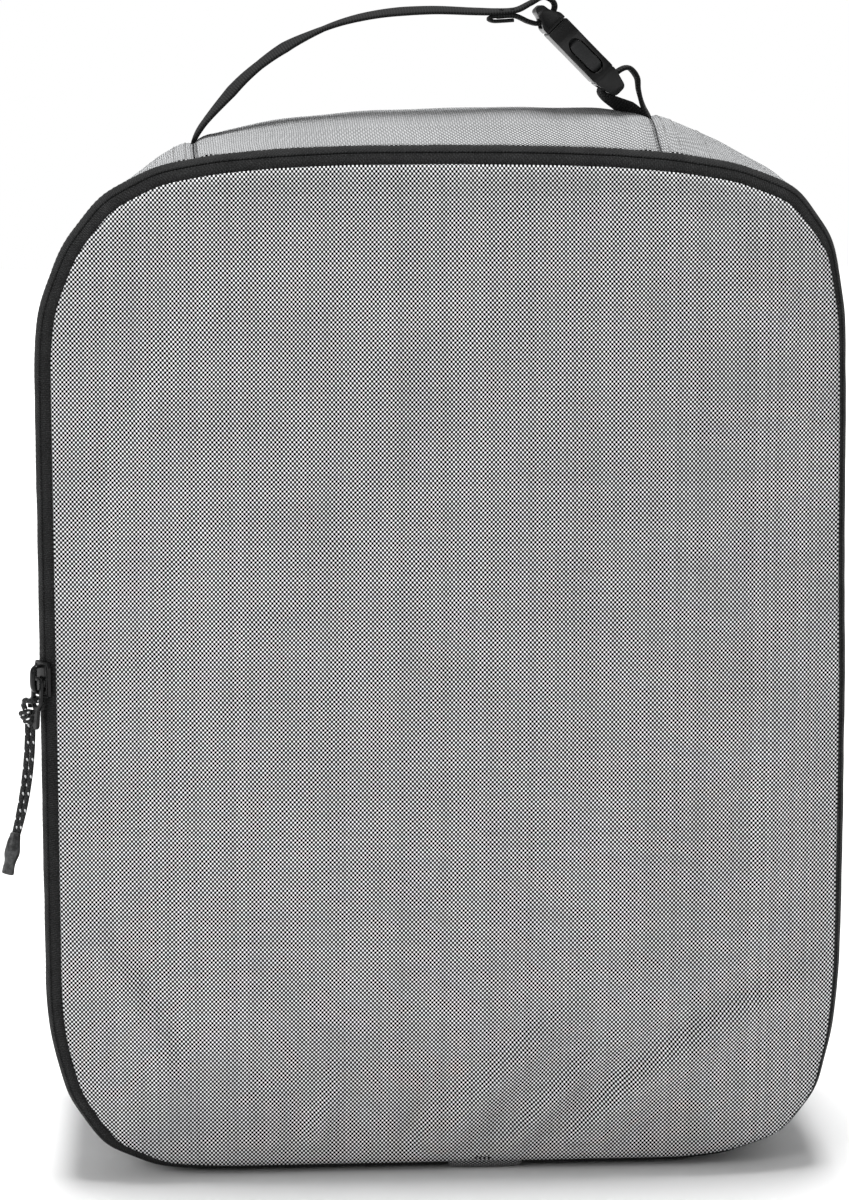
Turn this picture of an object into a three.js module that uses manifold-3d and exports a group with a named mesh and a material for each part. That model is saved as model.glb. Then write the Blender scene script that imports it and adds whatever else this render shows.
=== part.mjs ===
// Upright packing cube: a soft rounded case with a zipped front lid, a twisted webbing handle
// that closes with a side-release buckle, and a cord pull on the zip slider.
// Millimetres, +X to the right, +Y to the back, +Z up. The origin is the middle of the flat base.
import * as THREE from 'three';
import Module from 'manifold-3d';
import { mergeVertices } from 'three/addons/utils/BufferGeometryUtils.js';

const wasm = await Module();
wasm.setup();

// ---- driving dimensions ----
const HALF_WIDTH = 128.5;
const HEIGHT = 330;
const CORNER = { topLeft: 48, topRight: 40, bottomRight: 44, bottomLeft: 42 };
const GAP = 0.3;                 // clearance between touching pieces
const FABRIC = 1.6;              // padded oxford wall
const CENTRE_Z = HEIGHT / 2;

// Gusset strip, from the front seam to the back seam
const GUSSET_FRONT = -38.4;
const GUSSET_BACK = 48.5;
const SEAM_LEFT_X = -78.5;         // cross seams that hold the handle ends
const SEAM_RIGHT_X = 68.5;
const HUMP = 7.5;                // the packed top bulges between and beyond the seams
const HUMP_CENTRE_X = 18;
const HUMP_REACH = 100;
const HUMP_DEPTH_POWER = 0.8;

// Zip band: it rolls over the front edge from the gusset to the lid's rim, in (inset, y).
// The chain lies on the flat in its middle; the outer part of each tape turns down to its seam.
const CHAIN_MIDDLE = [1.9, -45.6];
const CHAIN_SLOPE = [6.5, -10.5];
const FLAT_HALF = 3.5;           // each tape is flat this far from the middle of the chain
const BAND_START = [0.02, -38.75];
const BAND_END = [6.9, -49.75];
const TAPE = 0.7;
const TAPE_EDGE = 0.6;           // half of the slit between the two tapes
const COIL = { inner: 0.6, outer: 2.55, top: -0.95, bottom: -2.45 };
const TAB_HALF = 11.4;           // fabric tab over the zip's ends, at the middle of the base
const CHAIN_END_Z = 58;          // the coils stop this far above the base on both sides
const STOP_LENGTH = 3;

// Panels and bindings
const LID_RIM = { inset: 7.4, y: -49.9, crown: 12 };
const BACK_RIM = { inset: 3.3, y: 51.2, crown: 5.5 };
const CROWN_POWER = 2.4;
const CROWN_STEPS = [0, 0.05, 0.14, 0.28, 0.5, 0.75];
const LID_BINDING = { from: 8.5, to: 14.5, front: -47.9, back: -47.1 };
const SEAM_BINDING = { from: 1.9, to: 2.9, width: 9 };
const BEAD = { depth: 3, front: 48.8, back: 52 };

// Zip slider, parked part of the way up the left side
const SLIDER_Z = 164;
const SLIDER = { length: 11, shoulder: 4.3, tail: 3.6 };
const PLATE = { topLow: 0.3, topHigh: 1.4, bottomHigh: -2.75, bottomLow: -3.75 };
const FLANGE = { inner: 3.2, outer: 4.1, top: -1.7 };
const CROWN_PIECE = { halfLength: 4.6, leg: 1.2, foot: 1.7, arch: 3.6, top: 4.7, width: 2.2 };
const PULLER = { pivotN: 2.5, tiltDeg: -4, thickness: 1.2, eyeHalf: 3.2, holeHalf: 1.7, bar: 0.65 };
const PULLER_HOLE_END = -8.4;
const PULLER_STEM = { half: 1.6, start: -9.9, end: -16.2 };

// Cord pull, in the slider's frame (across the chain, along it, out from it)
const CORD_R = 1;
const LOOP_T = -6.9;
const LOOP_E = -2.45;
const KNOT = [-4.1, -12.6, 3.4];
const KNOT_RADII = [2.1, 2.2, 2.1];
const SHRINK_TOP = [-4.1, -49.4, 9.5];
const SHRINK_AXIS = [0, -1, 0.24];
const SHRINK_PROFILE = [[2.1, 0], [2.3, 2.6], [2.5, 6.4], [2.35, 8], [1.95, 9.6], [1.9, 13.5]];

// Handle webbing and buckle
const WEB = { width: 10, thickness: 1.4 };
const PIVOT_LEFT = [-75, 335.8];
const PIVOT_RIGHT = [68.5, 339.3];
const BUCKLE_END = [58.9, 346];  // outer end of the socket, in (x, z)
const SOCKET = { length: 29.5, width: 17, thickness: 8, endThickness: 4.8, taper: 7 };
const WEB_SLOT = { width: 11, from: 3, to: 6.4 };
const CAVITY = { width: 13.6, thickness: 4.6, from: 9 };
const WINDOW = { from: 9.7, to: 22, thickness: 4.4 };
const HEAD = { from: 29.8, to: 37.8, slotFrom: 31.8, slotTo: 34.9, barThickness: 3.2 };
const TONGUE = { from: 10, halfWidth: 1.4, halfThickness: 1.5 };

// ---- materials ----
function finish(color, roughness, metalness = 0) {
  return new THREE.MeshStandardMaterial({ color, roughness, metalness });
}

const LOOK = {
  oxford: finish(0x9a9a9c, 0.85),
  tape: finish(0x1d1d1f, 0.9),
  coil: finish(0x161618, 0.5),
  binding: finish(0x202022, 0.9),
  webbing: finish(0x19191b, 0.85),
  plastic: finish(0x151517, 0.4),
  enamel: finish(0x111113, 0.3, 0.5),
  cord: finish(0x242426, 0.8),
  shrink: finish(0x3a3a3c, 0.45),
};

const cube = new THREE.Group();

function add(name, geometry, material, parent = cube) {
  const mesh = new THREE.Mesh(geometry, material);
  mesh.name = name;
  parent.add(mesh);
  return mesh;
}

// ---- outline: stations with an outward normal, anticlockwise seen from the front ----
function straight(from, to, normal, steps) {
  const stations = [];
  for (let i = 0; i <= steps; i += 1) {
    const t = i / steps;
    const x = THREE.MathUtils.lerp(from[0], to[0], t);
    const z = THREE.MathUtils.lerp(from[1], to[1], t);
    stations.push({ x, z, nx: normal[0], nz: normal[1] });
  }
  return stations;
}

const ARC_CENTRE = {
  topLeft: [-HALF_WIDTH + CORNER.topLeft, HEIGHT - CORNER.topLeft, 90],
  topRight: [HALF_WIDTH - CORNER.topRight, HEIGHT - CORNER.topRight, 0],
  bottomRight: [HALF_WIDTH - CORNER.bottomRight, CORNER.bottomRight, -90],
  bottomLeft: [-HALF_WIDTH + CORNER.bottomLeft, CORNER.bottomLeft, 180],
};
const ARC_STEPS = 9;

function corner(name) {
  const [cx, cz, startDeg] = ARC_CENTRE[name];
  const stations = [];
  for (let i = 0; i <= ARC_STEPS; i += 1) {
    const angle = THREE.MathUtils.degToRad(startDeg + (90 * i) / ARC_STEPS);
    const nx = Math.cos(angle);
    const nz = Math.sin(angle);
    stations.push({ x: cx + CORNER[name] * nx, z: cz + CORNER[name] * nz, nx, nz });
  }
  return stations;
}

const bottom = (fromX, toX, steps = 4) => straight([fromX, 0], [toX, 0], [0, -1], steps);
const right = (fromZ, toZ, steps = 4) => straight([HALF_WIDTH, fromZ], [HALF_WIDTH, toZ], [1, 0], steps);
const top = (fromX, toX, steps = 8) => straight([fromX, HEIGHT], [toX, HEIGHT], [0, 1], steps);
const left = (fromZ, toZ, steps = 4) => straight([-HALF_WIDTH, fromZ], [-HALF_WIDTH, toZ], [-1, 0], steps);

const EDGE = {
  bottomRightX: HALF_WIDTH - CORNER.bottomRight,
  bottomLeftX: -HALF_WIDTH + CORNER.bottomLeft,
  topRightX: HALF_WIDTH - CORNER.topRight,
  topLeftX: -HALF_WIDTH + CORNER.topLeft,
  topRightZ: HEIGHT - CORNER.topRight,
  topLeftZ: HEIGHT - CORNER.topLeft,
};

// Joins stretches end to end; a shared end station is kept once.
function chain(...stretches) {
  const joined = [];
  for (const station of stretches.flat()) {
    const last = joined[joined.length - 1];
    const same = last && Math.hypot(last.x - station.x, last.z - station.z) < 1e-6;
    if (!same) {
      joined.push(station);
    }
  }
  return joined;
}

function fullOutline() {
  const stations = chain(
    bottom(0, EDGE.bottomRightX, 2),
    corner('bottomRight'),
    right(CORNER.bottomRight, EDGE.topRightZ),
    corner('topRight'),
    top(EDGE.topRightX, EDGE.topLeftX),
    corner('topLeft'),
    left(EDGE.topLeftZ, CORNER.bottomLeft),
    corner('bottomLeft'),
    bottom(EDGE.bottomLeftX, 0, 2),
  );
  stations.pop();
  return stations;
}

// The same loop, opened by a slit at the middle of the base.
function openOutline(halfSlit) {
  return chain(
    bottom(halfSlit, EDGE.bottomRightX, 2),
    corner('bottomRight'),
    right(CORNER.bottomRight, EDGE.topRightZ),
    corner('topRight'),
    top(EDGE.topRightX, EDGE.topLeftX, 4),
    corner('topLeft'),
    left(EDGE.topLeftZ, CORNER.bottomLeft),
    corner('bottomLeft'),
    bottom(EDGE.bottomLeftX, -halfSlit, 2),
  );
}

// From the right side, over the top, to the left side: where the coils run.
function chainOutline(endZ) {
  return chain(
    right(endZ, EDGE.topRightZ),
    corner('topRight'),
    top(EDGE.topRightX, EDGE.topLeftX, 4),
    corner('topLeft'),
    left(EDGE.topLeftZ, endZ),
  );
}

// ---- solids from rings of points ----
function bodyFrom(points, faces) {
  let volume = 0;
  for (const [a, b, c] of faces) {
    volume += points[a].dot(new THREE.Vector3().crossVectors(points[b], points[c]));
  }
  const wound = volume > 0 ? faces : faces.map(([a, b, c]) => [a, c, b]);
  const geometry = new THREE.BufferGeometry().setFromPoints(points);
  geometry.setIndex(wound.flat());
  geometry.computeVertexNormals();
  return geometry;
}

// Skins rings of equal length; the end rings are capped from their flat outlines, unless closed.
function loft(rings, outlines, closed) {
  const count = rings[0].length;
  const faces = [];
  const spans = closed ? rings.length : rings.length - 1;
  for (let i = 0; i < spans; i += 1) {
    const here = i * count;
    const next = ((i + 1) % rings.length) * count;
    for (let j = 0; j < count; j += 1) {
      const k = (j + 1) % count;
      faces.push([here + j, here + k, next + k], [here + j, next + k, next + j]);
    }
  }
  if (!closed) {
    capFaces(outlines[0]).forEach(([a, b, c]) => faces.push([a, c, b]));
    const offset = (rings.length - 1) * count;
    capFaces(outlines[outlines.length - 1])
      .forEach(([a, b, c]) => faces.push([a + offset, b + offset, c + offset]));
  }
  return bodyFrom(rings.flat(), faces);
}

// Triangles over a flat outline, wound the way its points run.
function capFaces(outline) {
  const contour = outline.map(([a, b]) => new THREE.Vector2(a, b));
  const winding = Math.sign(THREE.ShapeUtils.area(contour));
  return THREE.ShapeUtils.triangulateShape(contour, []).map(([a, b, c]) => {
    const area = THREE.ShapeUtils.area([contour[a], contour[b], contour[c]]);
    return Math.sign(area) === winding ? [a, b, c] : [a, c, b];
  });
}

// A bar along the outline; section(station) lists its corners as [inset, y].
function outlineBar(stations, section, closed = false) {
  const outlines = stations.map((station) => section(station));
  const rings = stations.map((station, i) => outlines[i].map(([inset, y]) => new THREE.Vector3(
    station.x - station.nx * inset,
    y,
    station.z - station.nz * inset,
  )));
  return loft(rings, outlines, closed);
}

const rectangle = (insetFrom, insetTo, yFrom, yTo) => () => [
  [insetFrom, yFrom], [insetTo, yFrom], [insetTo, yTo], [insetFrom, yTo],
];

// ---- gusset: the strip that makes the sides, in four sewn lengths ----
function humpAt(x, z, y) {
  const offset = Math.abs(x - HUMP_CENTRE_X) / HUMP_REACH;
  if (z < CENTRE_Z || offset >= 1) {
    return 0;
  }
  const across = Math.sin((Math.PI * (y - GUSSET_FRONT)) / (GUSSET_BACK - GUSSET_FRONT));
  return HUMP * Math.cos((Math.PI / 2) * offset) ** 2 * Math.max(across, 0) ** HUMP_DEPTH_POWER;
}

const GUSSET_ROWS = 6;

function gussetSection(station) {
  const outer = [];
  for (let i = 0; i <= GUSSET_ROWS; i += 1) {
    const y = THREE.MathUtils.lerp(GUSSET_FRONT, GUSSET_BACK, i / GUSSET_ROWS);
    outer.push([-humpAt(station.x, station.z, y), y]);
  }
  const inner = outer.map(([inset, y]) => [inset + FABRIC, y]).reverse();
  return [...outer, ...inner];
}

const flatGussetSection = rectangle(0, FABRIC, GUSSET_FRONT, GUSSET_BACK);
const HALF_GAP = GAP / 2;

add('gusset_top', outlineBar(top(SEAM_RIGHT_X - HALF_GAP, SEAM_LEFT_X + HALF_GAP, 12), gussetSection), LOOK.oxford);
add('gusset_right', outlineBar(chain(
  right(CORNER.bottomRight + HALF_GAP, EDGE.topRightZ, 1),
  corner('topRight'),
  top(EDGE.topRightX, SEAM_RIGHT_X + HALF_GAP, 2),
), gussetSection), LOOK.oxford);
add('gusset_left', outlineBar(chain(
  top(SEAM_LEFT_X - HALF_GAP, EDGE.topLeftX, 1),
  corner('topLeft'),
  left(EDGE.topLeftZ, CORNER.bottomLeft + HALF_GAP, 1),
), gussetSection), LOOK.oxford);
add('gusset_bottom', outlineBar(chain(
  left(CORNER.bottomLeft - HALF_GAP, CORNER.bottomLeft - HALF_GAP, 1).slice(0, 1),
  corner('bottomLeft').slice(1),
  bottom(EDGE.bottomLeftX, EDGE.bottomRightX, 2),
  corner('bottomRight').slice(0, -1),
  right(CORNER.bottomRight - HALF_GAP, CORNER.bottomRight - HALF_GAP, 1).slice(0, 1),
), flatGussetSection), LOOK.oxford);

// ---- crowned panels: the lid's face and the back ----
function crownedPanel(rim, side) {
  const outline = fullOutline().map((station) => [
    station.x - station.nx * rim.inset,
    station.z - station.nz * rim.inset,
  ]);
  const count = outline.length;
  const points = [];
  const faces = [];
  for (const skin of [0, FABRIC]) {
    const start = points.length;
    CROWN_STEPS.forEach((t, ring) => {
      const y = rim.y + side * (rim.crown * (1 - (1 - t) ** CROWN_POWER) - skin);
      for (const [x, z] of outline) {
        points.push(new THREE.Vector3(x * (1 - t), y, CENTRE_Z + (z - CENTRE_Z) * (1 - t)));
      }
      if (ring > 0) {
        const outer = start + (ring - 1) * count;
        skinBand(faces, outer, outer + count, count, skin > 0);
      }
    });
    points.push(new THREE.Vector3(0, rim.y + side * (rim.crown - skin), CENTRE_Z));
    const last = start + (CROWN_STEPS.length - 1) * count;
    for (let j = 0; j < count; j += 1) {
      const fan = [last + j, last + ((j + 1) % count), points.length - 1];
      faces.push(skin > 0 ? fan.reverse() : fan);
    }
  }
  const innerStart = CROWN_STEPS.length * count + 1;
  skinBand(faces, innerStart, 0, count, false);
  return bodyFrom(points, faces);
}

// Quads between two rings of points, as triangles.
function skinBand(faces, from, to, count, flip) {
  for (let j = 0; j < count; j += 1) {
    const k = (j + 1) % count;
    const pair = [[from + j, from + k, to + k], [from + j, to + k, to + j]];
    pair.forEach(([a, b, c]) => faces.push(flip ? [a, c, b] : [a, b, c]));
  }
}

add('front_panel', crownedPanel(LID_RIM, -1), LOOK.oxford);
add('back_panel', crownedPanel(BACK_RIM, 1), LOOK.oxford);

// ---- bindings ----
const seamBack = GUSSET_BACK - SEAM_BINDING.width - 1.5;
add('front_seam_binding', outlineBar(fullOutline(), rectangle(
  SEAM_BINDING.from,
  SEAM_BINDING.to,
  GUSSET_FRONT + 0.4,
  GUSSET_FRONT + 0.4 + SEAM_BINDING.width,
), true), LOOK.binding);
add('back_seam_binding', outlineBar(fullOutline(), rectangle(
  SEAM_BINDING.from,
  SEAM_BINDING.to,
  seamBack,
  seamBack + SEAM_BINDING.width,
), true), LOOK.binding);
add('back_edge_binding', outlineBar(fullOutline(), () => [
  [0, BEAD.front], [BEAD.depth, BEAD.front], [BEAD.depth, BEAD.back - 0.6],
  [BEAD.depth - 0.8, BEAD.back], [0.9, BEAD.back], [0, BEAD.back - 1],
], true), LOOK.binding);
add('lid_seam_binding', outlineBar(fullOutline(), rectangle(
  LID_BINDING.from,
  LID_BINDING.to,
  LID_BINDING.front,
  LID_BINDING.back,
), true), LOOK.binding);

// ---- zip: two tapes and two coils on the band ----
const slopeLength = Math.hypot(...CHAIN_SLOPE);
const bandAcross = CHAIN_SLOPE.map((value) => value / slopeLength);
const bandOut = [bandAcross[1], -bandAcross[0]];   // outward, as [inset, y]

// A point s across the chain towards the lid and n out from the tapes' face, as [inset, y].
function onBand(s, n) {
  return [
    CHAIN_MIDDLE[0] + bandAcross[0] * s + bandOut[0] * n,
    CHAIN_MIDDLE[1] + bandAcross[1] * s + bandOut[1] * n,
  ];
}

const bandRectangle = (sFrom, sTo, nFrom, nTo) => () => [
  onBand(sFrom, nFrom), onBand(sTo, nFrom), onBand(sTo, nTo), onBand(sFrom, nTo),
];

// A section of one thickness under a bent line that runs from the gusset to the lid.
function sectionUnder(line) {
  const inner = line.map((point, i) => {
    const before = line[Math.max(i - 1, 0)];
    const after = line[Math.min(i + 1, line.length - 1)];
    const along = [after[0] - before[0], after[1] - before[1]];
    const length = Math.hypot(...along);
    return [point[0] - (along[1] / length) * TAPE, point[1] + (along[0] / length) * TAPE];
  });
  const section = [...line, ...inner.reverse()];
  return () => section;
}

const tapeOutline = openOutline(TAB_HALF + GAP);
const bendGusset = onBand(-FLAT_HALF, 0);
const bendLid = onBand(FLAT_HALF, 0);
const coilOutline = chainOutline(CHAIN_END_Z);
add('zip_tape_gusset', outlineBar(
  tapeOutline,
  sectionUnder([BAND_START, bendGusset, onBand(-TAPE_EDGE, 0)]),
), LOOK.tape);
add('zip_tape_lid', outlineBar(
  tapeOutline,
  sectionUnder([onBand(TAPE_EDGE, 0), bendLid, BAND_END]),
), LOOK.tape);
add('zip_coil_gusset', outlineBar(
  coilOutline,
  bandRectangle(-COIL.outer, -COIL.inner, COIL.bottom, COIL.top),
), LOOK.coil);
add('zip_coil_lid', outlineBar(
  coilOutline,
  bandRectangle(COIL.inner, COIL.outer, COIL.bottom, COIL.top),
), LOOK.coil);
add('zip_end_tab', outlineBar(
  bottom(-TAB_HALF, TAB_HALF, 2),
  sectionUnder([BAND_START, bendGusset, bendLid, BAND_END]),
), LOOK.oxford);

// Crimped stops that end the gusset's coil on both sides
const stopSection = bandRectangle(-COIL.outer - 0.2, -COIL.inner, COIL.bottom, COIL.top);
const stopTop = CHAIN_END_Z - GAP;
add('zip_stop_left', outlineBar(left(stopTop, stopTop - STOP_LENGTH, 1), stopSection), LOOK.enamel);
add('zip_stop_right', outlineBar(right(stopTop - STOP_LENGTH, stopTop, 1), stopSection), LOOK.enamel);

// ---- slider frame on the left side: x across the chain to the lid, y up it, z out of it ----
const acrossChain = new THREE.Vector3(bandAcross[0], bandAcross[1], 0);
const upChain = new THREE.Vector3(0, 0, 1);
const outOfChain = new THREE.Vector3(-Math.abs(bandOut[0]), bandOut[1], 0);

const sliderFrame = new THREE.Group();
sliderFrame.position.set(-HALF_WIDTH + CHAIN_MIDDLE[0], CHAIN_MIDDLE[1], SLIDER_Z);
sliderFrame.quaternion.setFromRotationMatrix(
  new THREE.Matrix4().makeBasis(acrossChain, upChain, outOfChain),
);
cube.add(sliderFrame);

// ---- manifold helpers ----
function toSolid(geometry) {
  const bare = geometry.clone();
  bare.deleteAttribute('normal');
  bare.deleteAttribute('uv');
  const merged = mergeVertices(bare, 1e-4);
  const mesh = new wasm.Mesh({
    numProp: 3,
    vertProperties: new Float32Array(merged.attributes.position.array),
    triVerts: new Uint32Array(merged.index.array),
  });
  return new wasm.Manifold(mesh);
}

function toGeometry(solid) {
  const mesh = solid.getMesh();
  const geometry = new THREE.BufferGeometry();
  geometry.setAttribute('position', new THREE.BufferAttribute(new Float32Array(mesh.vertProperties), 3));
  geometry.setIndex(new THREE.BufferAttribute(new Uint32Array(mesh.triVerts), 1));
  geometry.computeVertexNormals();
  return geometry;
}

// A box from its lowest to its highest corner.
function block(low, high) {
  const size = high.map((value, i) => value - low[i]);
  const geometry = new THREE.BoxGeometry(...size);
  geometry.translate(low[0] + size[0] / 2, low[1] + size[1] / 2, low[2] + size[2] / 2);
  return toSolid(geometry);
}

function polygon(points) {
  return new THREE.Shape(points.map(([a, b]) => new THREE.Vector2(a, b)));
}

// A plate of the given outline between two heights along its z.
function plate(shape, low, high) {
  const geometry = new THREE.ExtrudeGeometry(shape, {
    depth: high - low, bevelEnabled: false, curveSegments: 6,
  });
  geometry.translate(0, 0, low);
  return geometry;
}

// ---- slider body: two plates, a wedge between the tapes and a flange down each side ----
function sliderBody() {
  const half = SLIDER.length / 2;
  const outline = polygon([
    [-SLIDER.tail, half], [-SLIDER.shoulder, half - 1.6], [-SLIDER.shoulder, 0.5 - half],
    [-SLIDER.tail, -half], [SLIDER.tail, -half], [SLIDER.shoulder, 0.5 - half],
    [SLIDER.shoulder, half - 1.6], [SLIDER.tail, half],
  ]);
  const wedge = TAPE_EDGE - 0.25;
  let body = toSolid(plate(outline, PLATE.topLow, PLATE.topHigh));
  body = body.add(toSolid(plate(outline, PLATE.bottomLow, PLATE.bottomHigh)));
  body = body.add(block([-wedge, 1 - half, PLATE.bottomLow + 0.2], [wedge, -1, PLATE.topHigh - 0.2]));
  for (const side of [-1, 1]) {
    const edges = [side * FLANGE.inner, side * FLANGE.outer].sort((a, b) => a - b);
    body = body.add(block(
      [edges[0], 1 - half, PLATE.bottomLow + 0.2],
      [edges[1], half - 2, FLANGE.top],
    ));
  }
  return toGeometry(body);
}

// Arched crown over the slider, which the puller's eye hangs in
function sliderCrown() {
  const { halfLength, leg, foot, arch, top: crest, width } = CROWN_PIECE;
  const shape = polygon([
    [-halfLength, foot], [-halfLength, crest - 1.4], [-halfLength + 1.4, crest],
    [halfLength - 1.4, crest], [halfLength, crest - 1.4], [halfLength, foot],
    [halfLength - leg, foot], [halfLength - leg, arch], [leg - halfLength, arch],
    [leg - halfLength, foot],
  ]);
  const geometry = plate(shape, -width / 2, width / 2);
  // The arch is drawn in (along, out); turn it so that its width runs across the chain.
  geometry.applyMatrix4(new THREE.Matrix4().makeBasis(
    new THREE.Vector3(0, 1, 0),
    new THREE.Vector3(0, 0, 1),
    new THREE.Vector3(1, 0, 0),
  ));
  return geometry;
}

add('slider_body', sliderBody(), LOOK.enamel, sliderFrame);
add('slider_crown', sliderCrown(), LOOK.enamel, sliderFrame);

// ---- puller: an eye round the crown's lower leg, with a slim stem ----
const pullerFrame = new THREE.Group();
pullerFrame.position.set(0, 0, PULLER.pivotN);
pullerFrame.rotation.x = THREE.MathUtils.degToRad(PULLER.tiltDeg);
sliderFrame.add(pullerFrame);

function pullerTab() {
  const { eyeHalf, holeHalf, bar, thickness } = PULLER;
  const stem = PULLER_STEM;
  const shape = new THREE.Shape();
  shape.moveTo(-stem.half, stem.start);
  shape.lineTo(-stem.half, stem.end + stem.half);
  shape.absarc(0, stem.end + stem.half, stem.half, Math.PI, 2 * Math.PI, false);
  shape.lineTo(stem.half, stem.start);
  shape.lineTo(eyeHalf, stem.start + 2);
  shape.lineTo(eyeHalf, bar - 1);
  shape.lineTo(eyeHalf - 1, bar);
  shape.lineTo(1 - eyeHalf, bar);
  shape.lineTo(-eyeHalf, bar - 1);
  shape.lineTo(-eyeHalf, stem.start + 2);
  shape.closePath();
  const hole = new THREE.Path();
  hole.moveTo(-holeHalf, -bar);
  hole.lineTo(holeHalf, -bar);
  hole.lineTo(holeHalf, PULLER_HOLE_END + 0.8);
  hole.lineTo(holeHalf - 0.8, PULLER_HOLE_END);
  hole.lineTo(0.8 - holeHalf, PULLER_HOLE_END);
  hole.lineTo(-holeHalf, PULLER_HOLE_END + 0.8);
  hole.closePath();
  shape.holes.push(hole);
  return plate(shape, -thickness / 2, thickness / 2);
}

add('puller_tab', pullerTab(), LOOK.enamel, pullerFrame);

// ---- cord pull ----
function roundSection(radius, sides = 8) {
  const shape = new THREE.Shape();
  for (let i = 0; i <= sides; i += 1) {
    const angle = (2 * Math.PI * i) / sides;
    const point = [radius * Math.cos(angle), radius * Math.sin(angle)];
    if (i === 0) {
      shape.moveTo(...point);
    } else {
      shape.lineTo(...point);
    }
  }
  return shape;
}

function tube(points, radius, steps) {
  const curve = new THREE.CatmullRomCurve3(points.map((point) => new THREE.Vector3(...point)));
  return new THREE.ExtrudeGeometry(roundSection(radius), { steps, extrudePath: curve });
}

// Short bight round the eye's rear leg, from one side of the knot to the other
const LOOP_POINTS = [
  [-4.6, -10.0, 4.9], [-4.1, -8.2, 5.7], [-2.9, LOOP_T, 5.6], [-1.1, LOOP_T, 4.9],
  [-0.35, LOOP_T, 3.1], [-1.1, LOOP_T, 1.5], [LOOP_E, LOOP_T, 1.2], [-4.3, LOOP_T, 1.5],
  [-5.2, LOOP_T - 0.9, 2.4], [-5.2, -9.9, 2.6],
];
add('cord_loop', tube(LOOP_POINTS, CORD_R, 26), LOOK.cord, sliderFrame);

// Knot and the two strands that hang from it
function hangingStrand(side) {
  const [knotE, knotT, knotN] = KNOT;
  const [endE, endT, endN] = SHRINK_TOP;
  const points = [];
  const count = 5;
  for (let i = 0; i <= count; i += 1) {
    const t = i / count;
    const spread = THREE.MathUtils.lerp(1.08, 1.02, t);
    points.push([
      THREE.MathUtils.lerp(knotE, endE, t) + side * spread,
      THREE.MathUtils.lerp(knotT, endT + GAP, t),
      THREE.MathUtils.lerp(knotN, endN, t ** 1.15),
    ]);
  }
  return toSolid(tube(points, CORD_R, 12));
}

function cordAndKnot() {
  const ball = new THREE.SphereGeometry(1, 12, 8);
  ball.scale(...KNOT_RADII);
  ball.translate(...KNOT);
  return toGeometry(toSolid(ball).add(hangingStrand(-1)).add(hangingStrand(1)));
}

add('pull_cord', cordAndKnot(), LOOK.cord, sliderFrame);

// Heat-shrink sleeve that closes the cord's ends
function shrinkEnd() {
  const profile = [
    [0, 0],
    ...SHRINK_PROFILE,
    [0, SHRINK_PROFILE[SHRINK_PROFILE.length - 1][1]],
  ];
  const geometry = new THREE.LatheGeometry(profile.map(([r, h]) => new THREE.Vector2(r, h)), 14);
  const turn = new THREE.Quaternion().setFromUnitVectors(
    new THREE.Vector3(0, 1, 0),
    new THREE.Vector3(...SHRINK_AXIS).normalize(),
  );
  geometry.applyQuaternion(turn);
  geometry.translate(SHRINK_TOP[0], SHRINK_TOP[1] - GAP, SHRINK_TOP[2]);
  return geometry;
}

add('shrink_end', shrinkEnd(), LOOK.shrink, sliderFrame);

// ---- webbing: a flat ribbon along a path in the XZ plane, its width across the case ----
// Below its pivot the webbing narrows to a half round, so it can swing on the seam.
function ribbon(pathPoints, steps, pivotZ) {
  const curve = new THREE.CatmullRomCurve3(
    pathPoints.map(([x, z]) => new THREE.Vector3(x, 0, z)),
    false,
    'centripetal',
  );
  const half = WEB.width / 2;
  const rings = [];
  const outlines = [];
  for (let i = 0; i <= steps; i += 1) {
    const point = curve.getPointAt(i / steps);
    const tangent = curve.getTangentAt(i / steps);
    const normal = new THREE.Vector3(-tangent.z, 0, tangent.x);
    const drop = Math.max(pivotZ - point.z, 0);
    const width = Math.sqrt(Math.max(half ** 2 - drop ** 2, 1));
    const outline = [[-1, -1], [1, -1], [1, 1], [-1, 1]].map(([a, b]) => [
      a * width,
      (b * WEB.thickness) / 2,
    ]);
    outlines.push(outline);
    rings.push(outline.map(([across, out]) => (
      point.clone().addScaledVector(normal, out).add(new THREE.Vector3(0, across, 0))
    )));
  }
  return loft(rings, outlines, false);
}

const STRAP_PATH = [
  [-77.6, 331.6], PIVOT_LEFT, [-69.2, 342.6], [-61.1, 351.5], [-51.2, 359.6], [-41.4, 365.2],
  [-29.9, 370], [-16.9, 373.1], [-2, 374.1], [14.3, 373.1], [20.5, 372.5], [26, 372.7],
  [30, 374.6], [34.1, 376.1], [37.5, 374.6], [37.8, 372], [35.35, 369.55], [32.8, 367.2],
  [29.5, 367], [25.1, 369], [19.5, 370.4],
];
add('handle_strap', ribbon(STRAP_PATH, 64, PIVOT_LEFT[1]), LOOK.webbing);

const LOOP_PATH = [
  [67.5, 334.9], [65.9, 337.4], [62.5, 340], [58.1, 342.4], [54.3, 344.6], [53.1, 346.6],
  [55.6, 349.3], [58.7, 352.5], [62.1, 353.6], [64.8, 350.6], [65.4, 346.5], [66.8, 341.6],
  [68.7, 337.8], [69.6, 334.9],
];
add('anchor_loop', ribbon(LOOP_PATH, 44, PIVOT_RIGHT[1]), LOOK.webbing);

// ---- buckle frame: x from the socket's outer end to the plug, y to the front, z out ----
const SLANT = Math.SQRT1_2;
const buckleFrame = new THREE.Group();
buckleFrame.position.set(BUCKLE_END[0], 0, BUCKLE_END[1]);
buckleFrame.quaternion.setFromRotationMatrix(new THREE.Matrix4().makeBasis(
  new THREE.Vector3(-SLANT, 0, SLANT),
  new THREE.Vector3(0, -1, 0),
  new THREE.Vector3(SLANT, 0, SLANT),
));
cube.add(buckleFrame);

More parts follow.
